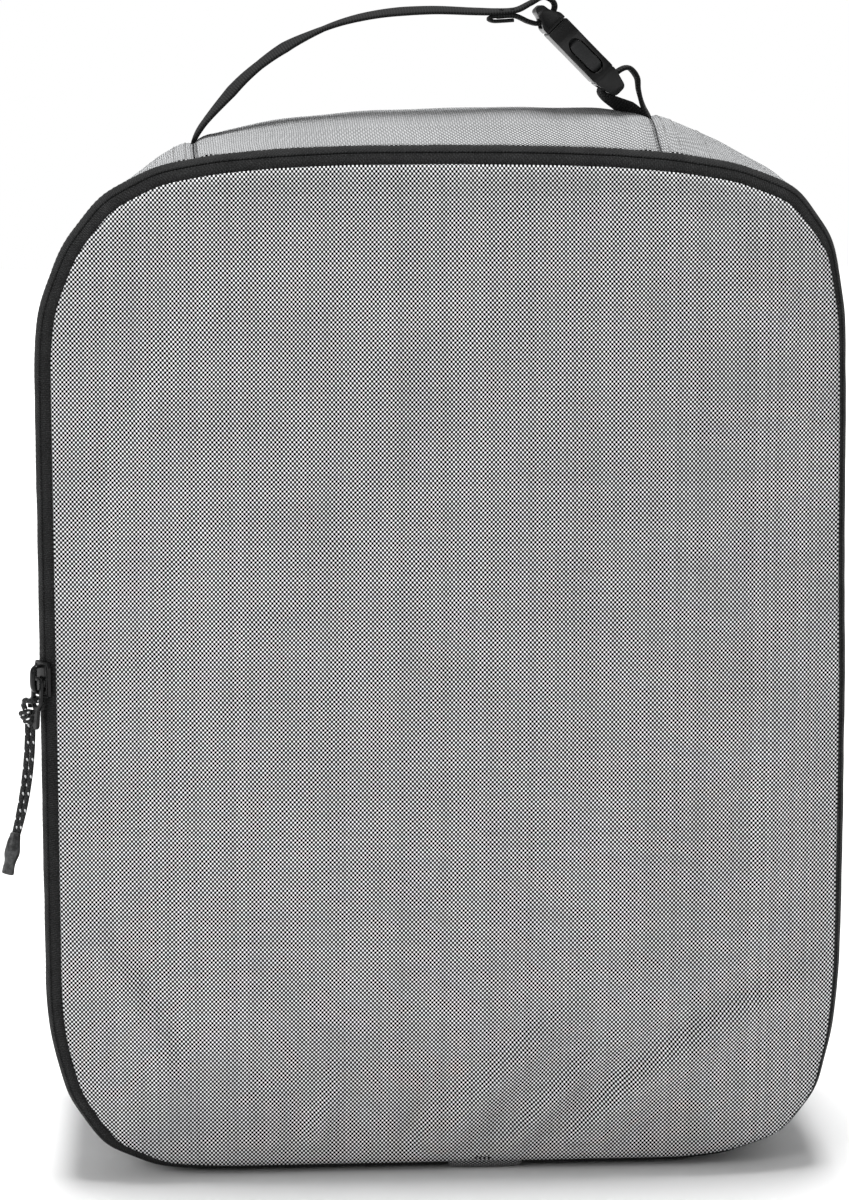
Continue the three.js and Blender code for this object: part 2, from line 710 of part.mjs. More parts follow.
// An outline in (along, out), swept across the buckle's width.
function acrossBuckle(points, halfWidth) {
  const geometry = plate(polygon(points), -halfWidth, halfWidth);
  geometry.applyMatrix4(new THREE.Matrix4().makeBasis(
    new THREE.Vector3(1, 0, 0),
    new THREE.Vector3(0, 0, 1),
    new THREE.Vector3(0, -1, 0),
  ));
  return toSolid(geometry);
}

function buckleSocket() {
  const { length, width, thickness, endThickness, taper } = SOCKET;
  const half = thickness / 2;
  const endHalf = endThickness / 2;
  let body = acrossBuckle([
    [0, -endHalf + 1], [1, -endHalf], [taper, -half], [length, -half],
    [length, half], [taper, half], [1, endHalf], [0, endHalf - 1],
  ], width / 2);
  const reach = thickness;
  body = body.subtract(block(
    [WEB_SLOT.from, -WEB_SLOT.width / 2, -reach],
    [WEB_SLOT.to, WEB_SLOT.width / 2, reach],
  ));
  body = body.subtract(block(
    [CAVITY.from, -CAVITY.width / 2, -CAVITY.thickness / 2],
    [length + 1, CAVITY.width / 2, CAVITY.thickness / 2],
  ));
  body = body.subtract(block(
    [WINDOW.from, -width, -WINDOW.thickness / 2],
    [WINDOW.to, width, WINDOW.thickness / 2],
  ));
  return toGeometry(body);
}

function bucklePlug() {
  const half = SOCKET.thickness / 2;
  const barHalf = HEAD.barThickness / 2;
  let body = acrossBuckle([
    [HEAD.from, -half], [HEAD.slotFrom, -half], [HEAD.slotTo, -barHalf],
    [HEAD.to - 0.6, -barHalf], [HEAD.to, -barHalf + 0.6], [HEAD.to, barHalf - 0.6],
    [HEAD.to - 0.6, barHalf], [HEAD.slotTo, barHalf], [HEAD.slotFrom, half], [HEAD.from, half],
  ], SOCKET.width / 2);
  body = body.subtract(block(
    [HEAD.slotFrom, -WEB_SLOT.width / 2, -SOCKET.thickness],
    [HEAD.slotTo, WEB_SLOT.width / 2, SOCKET.thickness],
  ));
  body = body.add(block(
    [TONGUE.from, -TONGUE.halfWidth, -TONGUE.halfThickness],
    [HEAD.from + 0.5, TONGUE.halfWidth, TONGUE.halfThickness],
  ));
  return toGeometry(body);
}

// Sprung arm beside the tongue, with a thumb bulge that locks in the socket's window
function buckleArm(side) {
  const outline = [
    [29.4, 3.9], [29.4, 6.3], [21.6, 6.3], [20.6, 8.1], [15, 8.3], [10.9, 6.3], [10.6, 4.6],
    [20, 4.6],
  ];
  const shape = polygon(outline.map(([u, v]) => [u, v * side]));
  return plate(shape, -1.9, 1.9);
}

add('buckle_socket', buckleSocket(), LOOK.plastic, buckleFrame);
add('buckle_plug', bucklePlug(), LOOK.plastic, buckleFrame);
add('buckle_arm_front', buckleArm(1), LOOK.plastic, buckleFrame);
add('buckle_arm_rear', buckleArm(-1), LOOK.plastic, buckleFrame);

export default cube;
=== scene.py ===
"""Packing cube: an upright soft case with a zipped lid, a buckled webbing handle and a cord pull.

Shapes are worked out in millimetres, in the frame's axes: +X right, +Y back, +Z up.
"""
import math

import bmesh
import bpy
import numpy as np
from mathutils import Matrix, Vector, noise


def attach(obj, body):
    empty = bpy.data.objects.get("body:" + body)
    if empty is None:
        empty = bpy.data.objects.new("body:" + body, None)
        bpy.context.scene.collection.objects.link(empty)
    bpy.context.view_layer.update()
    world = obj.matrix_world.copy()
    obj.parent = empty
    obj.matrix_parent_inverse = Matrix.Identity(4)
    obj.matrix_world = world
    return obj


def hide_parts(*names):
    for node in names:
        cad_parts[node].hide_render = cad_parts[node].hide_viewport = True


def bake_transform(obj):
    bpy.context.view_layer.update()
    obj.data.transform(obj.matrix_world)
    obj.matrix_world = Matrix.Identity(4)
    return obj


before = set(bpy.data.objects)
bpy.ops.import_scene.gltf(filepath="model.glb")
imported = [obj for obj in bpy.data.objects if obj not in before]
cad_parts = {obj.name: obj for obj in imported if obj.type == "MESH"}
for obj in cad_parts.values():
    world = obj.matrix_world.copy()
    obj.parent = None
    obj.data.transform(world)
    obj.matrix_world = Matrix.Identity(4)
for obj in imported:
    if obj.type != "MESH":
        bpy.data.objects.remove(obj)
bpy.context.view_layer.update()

MM = 0.001

# ---- sizes and places in mm ----
HALF_WIDTH = 128.5
HEIGHT = 330.0
CENTRE_Z = HEIGHT / 2
# The soft case's outline, as (x, z), anticlockwise from the middle of the base
OUTLINE_POINTS = (
    (0, 0), (40, 0), (75, 0), (92.3, 2.0), (111.2, 8.6), (122.8, 24.2), (127.6, 45.8), (129.2, 66),
    (129.4, 86), (129.4, 120), (129.1, 165), (128.4, 190), (127.9, 220), (127.6, 250), (126.8, 278),
    (122.8, 301), (111, 317.4), (92.2, 324.6), (72.4, 327.7), (53.3, 329.3), (30, 330.1), (0, 330.4),
    (-30, 330.2), (-52.5, 329.3), (-71.3, 327.6), (-90.3, 324.1), (-107.2, 315.3), (-119.4, 299.9),
    (-126.9, 281), (-128.5, 266), (-128.5, 240), (-128.5, 220), (-128.5, 165), (-128.5, 110),
    (-128.5, 60), (-127.4, 46), (-122.3, 26), (-111, 9), (-93, 1.2), (-75, 0), (-40, 0),
)
GUSSET_Y = (-38.4, 48.5)
SEAM_X = (-78.5, 68.5)
LOW_SEAM_Z = {"right": 44.0, "left": 42.0}
# How far the stuffed top rises over its outline, by x, at its crest across the depth
HUMP_RISE = (
    (-120, 0), (-106, 0.9), (-96, 2.1), (-84, 3.7), (-76, 4.7), (-68, 5.5), (-60, 6.3), (-44, 7.6),
    (-20, 9.0), (5, 9.9), (30, 10.8), (53, 11.1), (68, 10.6), (78, 9.2), (87, 7.2), (96, 5.9),
    (106, 4.6), (122, 0),
)
REAR_PULL = 8.0           # how far the rear's upper corners are drawn in
FABRIC = 1.1
LID_RIM = {"inset": 5.5, "y": -49.6, "crown": 12.3, "roll": 2.9}
BACK_RIM = {"inset": 3.3, "y": 51.2, "crown": 5.5, "roll": 0.0}
CROWN_POWER = 2.4
CHAIN_MIDDLE = (1.9, -45.6)
CHAIN_E = np.array([0.5263, -0.8503])          # across the chain to the lid, as (inset, y)
CHAIN_N = np.array([-0.8503, -0.5263])         # out of the chain
CHAIN_END_Z = 58.0
TAB_HALF = 12.0
TAB_CENTRE = 13.0
SLIDER_ORIGIN = (-126.6, -45.6, 164.0)
SLIDER_AXES = ((0.5263, -0.8503, 0.0), (0.0, 0.0, 1.0), (-0.8503, -0.5263, 0.0))
BUCKLE_ORIGIN = (58.9, 0.0, 346.0)
SLANT = math.sqrt(0.5)
BUCKLE_AXES = ((-SLANT, 0.0, SLANT), (0.0, -1.0, 0.0), (SLANT, 0.0, SLANT))


# ==== camera, floor and light ====
CAMERA_AT = (-72.0, -1115.0, 370.0)
CAMERA_AIM = (-6.6, -45.0, 187.7)
LENS = 103.0
FLOOR_Z = -0.6
FLOOR_REACH = 4000.0


def pointed(name, data, at, direction):
    """A camera or a light that stands at a place and looks along a direction."""
    thing = bpy.data.objects.new(name, data)
    thing.location = at
    thing.rotation_mode = "QUATERNION"
    thing.rotation_quaternion = Vector(direction).to_track_quat("-Z", "Y")
    bpy.context.collection.objects.link(thing)
    return thing


def make_camera():
    data = bpy.data.cameras.new("camera")
    data.lens = LENS
    data.sensor_width = 36.0
    aim = (Vector(CAMERA_AIM) - Vector(CAMERA_AT)).normalized()
    bpy.context.scene.camera = pointed("camera", data, Vector(CAMERA_AT) * MM, aim)


def area_light(name, at, aim, size, watts):
    data = bpy.data.lights.new(name, "AREA")
    data.shape = "RECTANGLE"
    data.size, data.size_y = size
    data.energy = watts
    pointed(name, data, at, Vector(aim) - Vector(at))


def sun_light(name, direction, strength, angle):
    """Even light over the whole floor, soft-edged."""
    data = bpy.data.lights.new(name, "SUN")
    data.energy = strength
    data.angle = math.radians(angle)
    pointed(name, data, (0, 0, 0), direction)


def make_world(seen, given):
    """White behind the object, and a softer white for the light that it gives."""
    world = bpy.data.worlds.new("studio")
    world.use_nodes = True
    bpy.context.scene.world = world
    nodes, links = world.node_tree.nodes, world.node_tree.links
    background = nodes["Background"]
    background.inputs["Color"].default_value = (1.0, 1.0, 1.0, 1.0)
    path = nodes.new("ShaderNodeLightPath")
    strength = nodes.new("ShaderNodeMapRange")
    strength.inputs["To Min"].default_value = given
    strength.inputs["To Max"].default_value = seen
    links.new(path.outputs["Is Camera Ray"], strength.inputs["Value"])
    links.new(strength.outputs["Result"], background.inputs["Strength"])


# ==== node materials ====
class Look:
    """A procedural material, with short calls that make and link its nodes."""

    def __init__(self, name, **settings):
        self.material = bpy.data.materials.new(name)
        self.material.use_nodes = True
        self.tree = self.material.node_tree
        self.shader = self.tree.nodes["Principled BSDF"]
        for key, value in settings.items():
            self.shader.inputs[key.replace("_", " ")].default_value = value

    def node(self, kind, inputs=(), **settings):
        node = self.tree.nodes.new("ShaderNode" + kind)
        for key, value in settings.items():
            setattr(node, key, value)
        for key, value in dict(inputs).items():
            self.feed(node.inputs[key], value)
        return node

    def feed(self, socket, value):
        if isinstance(value, bpy.types.NodeSocket):
            self.tree.links.new(value, socket)
        else:
            socket.default_value = value

    def math(self, operation, *values):
        node = self.node("Math", operation=operation)
        for socket, value in zip(node.inputs, values):
            self.feed(socket, value)
        return node.outputs[0]

    def wave(self, value, period):
        """A sine that repeats every `period` of the value."""
        return self.math("SINE", self.math("MULTIPLY", value, 2 * math.pi / period))

    def uv(self):
        """The two coordinates of the piece's own surface, in metres."""
        node = self.node("UVMap", uv_map="surface")
        split = self.node("SeparateXYZ", {"Vector": node.outputs["UV"]})
        return node.outputs["UV"], split.outputs["X"], split.outputs["Y"]

    def place(self):
        return self.node("NewGeometry").outputs["Position"]

    def clouds(self, where, size, detail=2.0, rough=0.5):
        """Noise from 0 to 1 whose lumps are about `size` metres across."""
        return self.node("TexNoise", {
            "Vector": where, "Scale": 1.0 / size, "Detail": detail, "Roughness": rough,
        }).outputs["Fac"]

    def blend(self, amount, low, high):
        node = self.node("Mix", data_type="RGBA")
        self.feed(node.inputs["Factor"], amount)
        for socket, value in ((node.inputs["A"], low), (node.inputs["B"], high)):
            self.feed(self.colour_socket(node, socket.name), value)
        return self.colour_output(node)

    @staticmethod
    def colour_socket(node, name):
        return next(s for s in node.inputs if s.name == name and s.type == "RGBA")

    @staticmethod
    def colour_output(node):
        return next(s for s in node.outputs if s.type == "RGBA")

    def between(self, value, low, high, to_low=0.0, to_high=1.0):
        return self.node("MapRange", {
            "Value": value, "From Min": low, "From Max": high,
            "To Min": to_low, "To Max": to_high,
        }).outputs["Result"]

    def colour(self, value):
        self.feed(self.shader.inputs["Base Color"], value)

    def roughness(self, value):
        self.feed(self.shader.inputs["Roughness"], value)

    def relief(self, height, distance, strength):
        bump = self.node("Bump", {"Height": height, "Distance": distance, "Strength": strength})
        self.feed(self.shader.inputs["Normal"], bump.outputs["Normal"])


def grey(value, tint=0.0):
    """A grey in linear light, slightly blue where tint is above 0."""
    return (value * (1 - tint), value, value * (1 + tint), 1.0)


OXFORD_CELL = (0.00065, 0.00072)   # one yarn crossing, in metres


def oxford_look(name, pale=0.96):
    """Two-tone plain weave: pale and dark yarns that cross in a fine chequer."""
    look = Look(name, Roughness=0.9, Specular_IOR_Level=0.04)
    where, u, v = look.uv()
    drift = look.clouds(where, 0.022, 1.0)
    wander = look.math("MULTIPLY", look.math("SUBTRACT", drift, 0.5), 1.5)
    across = look.math("ADD", look.math("DIVIDE", u, OXFORD_CELL[0]), wander)
    up = look.math("SUBTRACT", look.math("DIVIDE", v, OXFORD_CELL[1]), wander)
    column, row = look.math("FLOOR", across), look.math("FLOOR", up)
    over = look.math("FLOORED_MODULO", look.math("ADD", column, row), 2.0)
    in_column = look.math("SUBTRACT", look.math("FRACT", across), 0.5)
    in_row = look.math("SUBTRACT", look.math("FRACT", up), 0.5)
    round_column = look.math("COSINE", look.math("MULTIPLY", in_column, math.pi))
    round_row = look.math("COSINE", look.math("MULTIPLY", in_row, math.pi))
    crown = look.math("POWER", look.math("MULTIPLY", round_column, round_row), 0.45)
    # Each yarn has its own tone, and the whole cloth varies slowly.
    yarn = look.node("TexWhiteNoise", {"W": column}, noise_dimensions="1D").outputs["Value"]
    weft = look.node("TexWhiteNoise", {"W": row}, noise_dimensions="1D").outputs["Value"]
    tone = look.math("ADD", look.between(yarn, 0, 1, 0.86, 0.98), look.between(weft, 0, 1, 0, 0.06))
    slow = look.between(look.clouds(where, 0.03, 3.0), 0.3, 0.7, 0.95, 1.05)
    # Each crossing is painted darker towards its edges: painted shade in the gaps between the yarns.
    tone_and_gap_shade = look.math("MULTIPLY", look.math("MULTIPLY", tone, slow),
                      look.between(crown, 0.0, 1.0, 0.12, 1.0))
    weave = look.blend(over, grey(0.002, 0.03), grey(pale, 0.012))
    shaded = look.node("VectorMath", operation="SCALE")
    look.feed(shaded.inputs[0], weave)
    look.feed(shaded.inputs["Scale"], tone_and_gap_shade)
    look.colour(shaded.outputs[0])
    look.relief(crown, 0.00016, 0.55)
    return look.material


def coating_look():
    """The cloth's dark waterproof backing, with the weave just showing through."""
    look = Look("cloth_backing", Roughness=0.55)
    where, u, _ = look.uv()
    grain = look.clouds(where, 0.0011, 2.0)
    ribs = look.wave(u, 0.0013)
    look.colour(look.blend(look.clouds(where, 0.02, 3.0), grey(0.055), grey(0.085)))
    look.relief(look.math("ADD", grain, look.math("MULTIPLY", ribs, 0.25)), 0.00012, 0.5)
    return look.material


def tape_look(name, rib, tone, twill=0.6):
    """Black woven tape: ribs across its length, with a fine twill and paler single threads."""
    look = Look(name, Specular_IOR_Level=0.2, Sheen_Weight=0.02, Sheen_Roughness=0.4)
    where, u, v = look.uv()
    slant = look.math("ADD", look.math("MULTIPLY", u, twill), v)
    ribs = look.wave(v, rib)
    lines = look.wave(slant, rib * 1.7)
    threads = look.clouds(where, rib * 0.9, 3.0, 0.7)
    height = look.math("ADD", look.math("MULTIPLY", ribs, 0.3), look.math("MULTIPLY", lines, 0.25))
    height = look.math("ADD", height, threads)
    fleck = look.between(threads, 0.5, 0.72, 0.0, 1.0)
    look.colour(look.blend(fleck, grey(tone, 0.02), grey(tone * 9.0, 0.03)))
    look.roughness(look.between(look.clouds(where, 0.006), 0.3, 0.7, 0.68, 0.88))
    look.relief(height, 0.0003, 0.8)
    return look.material


def webbing_look():
    """Ribbed webbing: raised wefts across it, each rib slightly broken up."""
    look = Look("webbing", Roughness=0.75, Specular_IOR_Level=0.2, Sheen_Weight=0.02)
    where, u, v = look.uv()
    ribs = look.wave(v, 0.0009)
    strands = look.wave(u, 0.00075)
    weave = look.math("MULTIPLY", ribs, look.between(strands, -1, 1, 0.35, 1.0))
    fuzz = look.clouds(where, 0.0006, 3.0, 0.7)
    height = look.math("ADD", look.math("MULTIPLY", weave, 0.6), fuzz)
    # Raised ribs are painted paler and the hollows between them darker: painted light and shade.
    rib_light_and_shade = look.between(height, 0.55, 1.25)
    look.colour(look.blend(rib_light_and_shade, grey(0.002, 0.02), grey(0.02, 0.03)))
    look.relief(height, 0.00022, 0.8)
    return look.material


def plastic_look(name, tone, low, high):
    """Moulded black acetal: a fine spark texture, smoother where it's handled."""
    look = Look(name, Specular_IOR_Level=0.25)
    where = look.place()
    spark = look.clouds(where, 0.00045, 3.0, 0.6)
    wear = look.clouds(where, 0.007, 3.0)
    look.colour(look.blend(wear, grey(tone, 0.03), grey(tone * 1.7, 0.04)))
    look.roughness(look.between(wear, 0.3, 0.7, low, high))
    look.relief(spark, 0.00005, 0.5)
    return look.material


def enamel_look():
    """Black enamel over a cast slider: glossy, with a slight orange peel."""
    look = Look("enamel", Specular_IOR_Level=0.12, Coat_Weight=0.12, Coat_Roughness=0.05)
    where = look.place()
    worn = look.clouds(where, 0.003, 3.0)
    look.colour(look.blend(worn, grey(0.003), grey(0.008, 0.03)))
    look.roughness(look.between(worn, 0.3, 0.7, 0.2, 0.34))
    look.relief(look.clouds(where, 0.0009, 1.0), 0.00005, 0.35)
    return look.material


FLECK_PITCH = 0.0055
CORD_ROUND = 0.0063            # the surface coordinate's run, once round the cord
FLECK_WIDTH = CORD_ROUND / 4   # four columns of flecks round it


def cord_look():
    """Black braid: two sets of crossing strands, and pale flecks that wind along it."""
    look = Look("flecked_cord", Roughness=0.75, Specular_IOR_Level=0.25, Sheen_Weight=0.02)
    _, turn, along = look.uv()
    angle = look.math("MULTIPLY", turn, 2 * math.pi * 4 / CORD_ROUND)
    climb = look.math("MULTIPLY", along, 2 * math.pi / 0.0011)
    one = look.math("SINE", look.math("ADD", angle, climb))
    other = look.math("SINE", look.math("SUBTRACT", angle, climb))
    braid = look.math("MAXIMUM", one, other)
    cell_u = look.math("DIVIDE", turn, FLECK_WIDTH)
    column = look.math("FLOOR", cell_u)
    cell_v = look.math("ADD", look.math("DIVIDE", along, FLECK_PITCH),
                       look.math("MULTIPLY", column, 0.5))
    du = look.math("MULTIPLY", look.math("SUBTRACT", look.math("FRACT", cell_u), 0.5), FLECK_WIDTH)
    dv = look.math("MULTIPLY", look.math("SUBTRACT", look.math("FRACT", cell_v), 0.5), FLECK_PITCH)
    tilted = look.math("ADD", du, look.math("MULTIPLY", dv, 0.45))
    reach = look.math("ADD", look.math("POWER", look.math("DIVIDE", tilted, 0.00038), 2.0),
                      look.math("POWER", look.math("DIVIDE", dv, 0.00052), 2.0))
    fleck = look.between(reach, 1.15, 0.85)
    # The raised strands of the braid are painted paler than the grooves between them: painted shade.
    tone = look.blend(look.between(braid, -0.2, 1.0), grey(0.006), grey(0.026, 0.03))
    look.colour(look.blend(fleck, tone, grey(0.82, 0.01)))
    look.relief(braid, 0.00012, 0.8)
    return look.material


def shrink_look():
    """Heat-shrink sleeve: dark grey and satin, rubbed paler in patches."""
    look = Look("shrink_sleeve")
    where = look.place()
    rub = look.clouds(where, 0.0022, 4.0, 0.65)
    fine = look.clouds(where, 0.0005, 2.0)
    look.colour(look.blend(look.between(rub, 0.42, 0.68), grey(0.007, 0.02), grey(0.07, 0.02)))
    look.roughness(look.between(rub, 0.3, 0.7, 0.34, 0.56))
    look.relief(look.math("ADD", rub, look.math("MULTIPLY", fine, 0.3)), 0.0002, 0.6)
    return look.material


def thread_look(name, tone):
    """Twisted sewing thread."""
    look = Look(name, Roughness=0.6, Sheen_Weight=0.1)
    _, u, v = look.uv()
    ply = look.wave(look.math("ADD", u, v), 0.0004)
    # The plies are painted darker in the grooves between them: painted shade.
    look.colour(look.blend(look.between(ply, -1, 1), grey(tone * 0.6), grey(tone)))
    look.relief(ply, 0.00006, 0.6)
    return look.material


def coil_look():
    """Nylon coil: satin, with a little variation from tooth to tooth."""
    look = Look("nylon_coil")
    tint = look.clouds(look.place(), 0.0015, 2.0)
    look.colour(look.blend(tint, grey(0.007), grey(0.017, 0.03)))
    look.roughness(look.between(tint, 0.3, 0.7, 0.3, 0.45))
    look.relief(tint, 0.00003, 0.3)
    return look.material


def floor_look():
    look = Look("floor", Roughness=0.6)
    where = look.place()
    look.colour(look.blend(look.clouds(where, 0.3, 2.0), grey(0.93), grey(0.95)))
    return look.material


OXFORD = oxford_look("oxford")
COATING = coating_look()
ZIP_TAPE = tape_look("zip_tape", 0.0006, 0.004)
BINDING = tape_look("binding", 0.0009, 0.008, 0.0)
# The end tab's oxford, its pale yarns dimmed to 0.4 as painted shade under the base.
PATCH_IN_PAINTED_SHADE = oxford_look("oxford_patch_in_painted_shade", 0.4)
WEBBING = webbing_look()
PLASTIC = plastic_look("acetal", 0.003, 0.24, 0.38)
THUMB = plastic_look("acetal_thumb", 0.012, 0.4, 0.55)
ENAMEL = enamel_look()
CORD = cord_look()
SHRINK = shrink_look()
DARK_THREAD = thread_look("dark_thread", 0.03)
GREY_THREAD = thread_look("grey_thread", 0.3)
COIL = coil_look()


# ==== meshes from grids of points ====
def spaced(start, end, step):
    return np.linspace(start, end, max(int(round(abs(end - start) / step)), 1) + 1)


def run_along(path):
    """How far along the path each of its points lies."""
    return np.concatenate([[0], np.cumsum(np.linalg.norm(np.diff(path, axis=0), axis=1))])


def read_off(wanted, gone, values):
    """The rows of values at the wanted distances, when each row lies at its own distance."""
    return np.array([np.interp(wanted, gone, column) for column in values.T]).T


def in_plane(x, z):
    """Points or directions that have no y."""
    return np.stack([x, 0 * x, z], axis=-1)


def smooth_shading(mesh, sharp_deg=None):
    mesh.shade_smooth()
    if sharp_deg is not None:
        mesh.set_sharp_from_angle(angle=math.radians(sharp_deg))


def new_piece(name, points, faces, corner_uvs, materials):
    """An object from points in mm; corner_uvs has a pair in mm for each corner of each face."""
    mesh = bpy.data.meshes.new(name)
    mesh.from_pydata((np.asarray(points, float).reshape(-1, 3) * MM).tolist(), [], faces)
    layer = mesh.uv_layers.new(name="surface")
    layer.data.foreach_set("uv", (np.asarray(corner_uvs, float) * MM).ravel())
    for material in materials:
        mesh.materials.append(material)
    smooth_shading(mesh)
    piece = bpy.data.objects.new(name, mesh)
    bpy.context.collection.objects.link(piece)
    return piece


def skin(name, points, along, across, materials, wrap=(False, False), caps=False):
    """A skin over a grid of points; along and across are its surface coordinates in mm.

    A wrapped direction joins its last line to its first, and its coordinates have one more.
    """
    points = np.asarray(points, float)
    rows, columns = points.shape[:2]
    faces, uvs = [], []
    for i in range(rows if wrap[0] else rows - 1):
        below = ((i + 1) % rows) * columns
        for j in range(columns if wrap[1] else columns - 1):
            k = (j + 1) % columns
            faces.append((i * columns + j, below + j, below + k, i * columns + k))
            uvs += [(across[j], along[i]), (across[j], along[i + 1]),
                    (across[j + 1], along[i + 1]), (across[j + 1], along[i])]
    if caps:
        ends = (list(range(columns))[::-1], [(rows - 1) * columns + j for j in range(columns)])
        for end, ring in enumerate(ends):
            faces.append(tuple(ring))
            uvs += [(across[index % columns], along[-1 if end else 0]) for index in ring]
    return new_piece(name, points, faces, uvs, materials)


def face_out(piece, closed=True):
    """Turns the faces outwards: of a closed body, or of an open sheet round the case's middle."""
    shape = bmesh.new()
    shape.from_mesh(piece.data)
    if closed:
        bmesh.ops.recalc_face_normals(shape, faces=shape.faces)
    else:
        middle = Vector((0.0, 0.0, CENTRE_Z * MM))
        facing = sum((f.calc_center_median() - middle).dot(f.normal) * f.calc_area()
                     for f in shape.faces)
        if facing < 0:
            bmesh.ops.reverse_faces(shape, faces=shape.faces)
    shape.to_mesh(piece.data)
    shape.free()
    return piece


def apply_modifiers(piece):
    """Keeps the shape that the modifiers make, and removes them."""
    graph = bpy.context.evaluated_depsgraph_get()
    graph.update()
    final = bpy.data.meshes.new_from_object(piece.evaluated_get(graph), depsgraph=graph)
    old = piece.data
    piece.modifiers.clear()
    piece.data = final
    bpy.data.meshes.remove(old)
    return piece


def subdivide(piece, levels):
    fine = piece.modifiers.new("fine", "SUBSURF")
    fine.levels = fine.render_levels = levels
    return apply_modifiers(piece)


def thicken(piece):
    """Gives an open sheet its thickness, with its second material inside."""
    solid = piece.modifiers.new("cloth", "SOLIDIFY")
    solid.thickness = FABRIC * MM
    solid.offset = -1.0
    solid.material_offset = len(piece.data.materials) - 1
    solid.use_rim = True
    return apply_modifiers(piece)


def keep(piece, body, slot, *nodes):
    """The piece rides on a body and stands for these nodes; the slot is not used."""
    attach(piece, body)
    if nodes:
        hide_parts(*nodes)
    return piece


def lumps(points, size, seed):
    """Smooth noise from -1 to 1 at points in mm, with lumps of about `size` mm."""
    flat = points.reshape(-1, 3) / size + np.array([seed * 17.3, seed * -9.1, seed * 5.7])
    return np.array([noise.noise(Vector(p)) for p in flat]).reshape(points.shape[:-1])


# ==== the case's outline ====
def outline_table(step=0.25, smoothing=16):
    """Rows of (distance, x, z, normal x, normal z), anticlockwise from the middle of the base."""
    points = np.array(OUTLINE_POINTS, float)
    gaps = np.hypot(*(np.roll(points, -1, axis=0) - points).T)
    knots = np.concatenate([[0], np.cumsum(gaps)])
    even = np.arange(0, knots[-1], step)
    line = np.array([np.interp(even, knots, np.append(points[:, k], points[0, k])) for k in (0, 1)]).T
    weights = np.exp(-0.5 * (np.arange(-3 * smoothing, 3 * smoothing + 1) / smoothing) ** 2)
    weights /= weights.sum()
    around = np.concatenate([line[-3 * smoothing:], line, line[:3 * smoothing]])
    line = np.array([np.convolve(around[:, k], weights, mode="valid") for k in (0, 1)]).T
    step_on = np.roll(line, -1, axis=0) - np.roll(line, 1, axis=0)
    step_on /= np.linalg.norm(step_on, axis=1, keepdims=True)
    table = np.column_stack([line, step_on[:, 1], -step_on[:, 0]])
    table = np.vstack([table, table[:1]])
    distance = np.concatenate([[0], np.cumsum(np.hypot(*np.diff(table[:, :2], axis=0).T))])
    return np.column_stack([distance, table])


OUTLINE = outline_table()
PERIMETER = OUTLINE[-1, 0]


def outline_at(distance):
    """x, z and the outward normal at distances along the outline."""
    s = np.mod(distance, PERIMETER)
    return [np.interp(s, OUTLINE[:, 0], OUTLINE[:, k]) for k in range(1, 5)]


def outline_where(wanted):
    """The distance of the outline's point nearest to (x, z)."""
    gaps = np.hypot(OUTLINE[:, 1] - wanted[0], OUTLINE[:, 2] - wanted[1])
    return OUTLINE[int(np.argmin(gaps)), 0]


def depth_at(y):
    """0 at the front of the gusset, 1 at its rear."""
    return np.clip((y - GUSSET_Y[0]) / (GUSSET_Y[1] - GUSSET_Y[0]), 0, 1)


def rear_pull(nx, nz, y):
    """How far the outline is drawn in at its upper corners, growing from the front to the rear."""
    return REAR_PULL * np.clip(2 * np.abs(nx) * np.clip(nz, 0, 1), 0, 1) ** 1.2 * depth_at(y)


def on_outline(distance, section):
    """Points for a section of (inset, y) pairs at each distance, one section or one each."""
    x, z, nx, nz = (a[:, None] for a in outline_at(distance))
    section = np.broadcast_to(section, (len(distance),) + np.shape(section)[-2:])
    y = section[..., 1]
    inset = section[..., 0] + rear_pull(nx, nz, y)
    return np.stack([x - nx * inset, y, z - nz * inset], axis=-1)


S_SEAM_RIGHT = outline_where((SEAM_X[1], HEIGHT))
S_SEAM_LEFT = outline_where((SEAM_X[0], HEIGHT))
S_LOW_RIGHT = outline_where((HALF_WIDTH, LOW_SEAM_Z["right"]))
S_LOW_LEFT = outline_where((-HALF_WIDTH, LOW_SEAM_Z["left"]))


# ==== fabric of the case ====
def hump_at(x, z, y):
    """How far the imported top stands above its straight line."""
    across = np.clip(np.sin(np.pi * depth_at(y) ** 1.1), 0, 1)
    return np.where(z > CENTRE_Z, np.interp(x, *np.array(HUMP_RISE, float).T) * across, 0.0)


def gusset_shape(s, y):
    """Outer surface of the gusset for every pair of a distance and a y."""
    x, z, nx, nz = (a[:, None] for a in outline_at(s))
    y = np.broadcast_to(y[None, :], (len(s), len(y)))
    base = np.stack(np.broadcast_arrays(x, y, z), axis=-1)
    inner = np.clip(np.sin(np.pi * depth_at(y)), 0, 1) ** 0.6
    out = hump_at(x, z, y) + inner * (0.55 * lumps(base, 38, 1) + 0.3 * lumps(base, 15, 2))
    out = out + 0.5 * inner * (z > 20) - rear_pull(nx, nz, y)
    # Small gathers where the cloth is sewn in at the front and the back
    edge = np.exp(-(y - GUSSET_Y[0]) / 7) + np.exp(-(GUSSET_Y[1] - y) / 7)
    ripple = np.stack([x + 0 * y, 0 * base[..., 1], z + 0 * y], axis=-1)
    out = out + 0.3 * edge * lumps(ripple, 6.5, 3) * (z > 8)
    for seam in (S_SEAM_RIGHT, S_SEAM_LEFT):
        away = np.abs(s - seam)[:, None]
        out = out - 0.75 * np.exp(-((away / 1.3) ** 2)) + 0.4 * np.exp(-(((away - 4.5) / 2.2) ** 2))
    return base + np.stack([nx * out, 0 * out, nz * out], axis=-1)


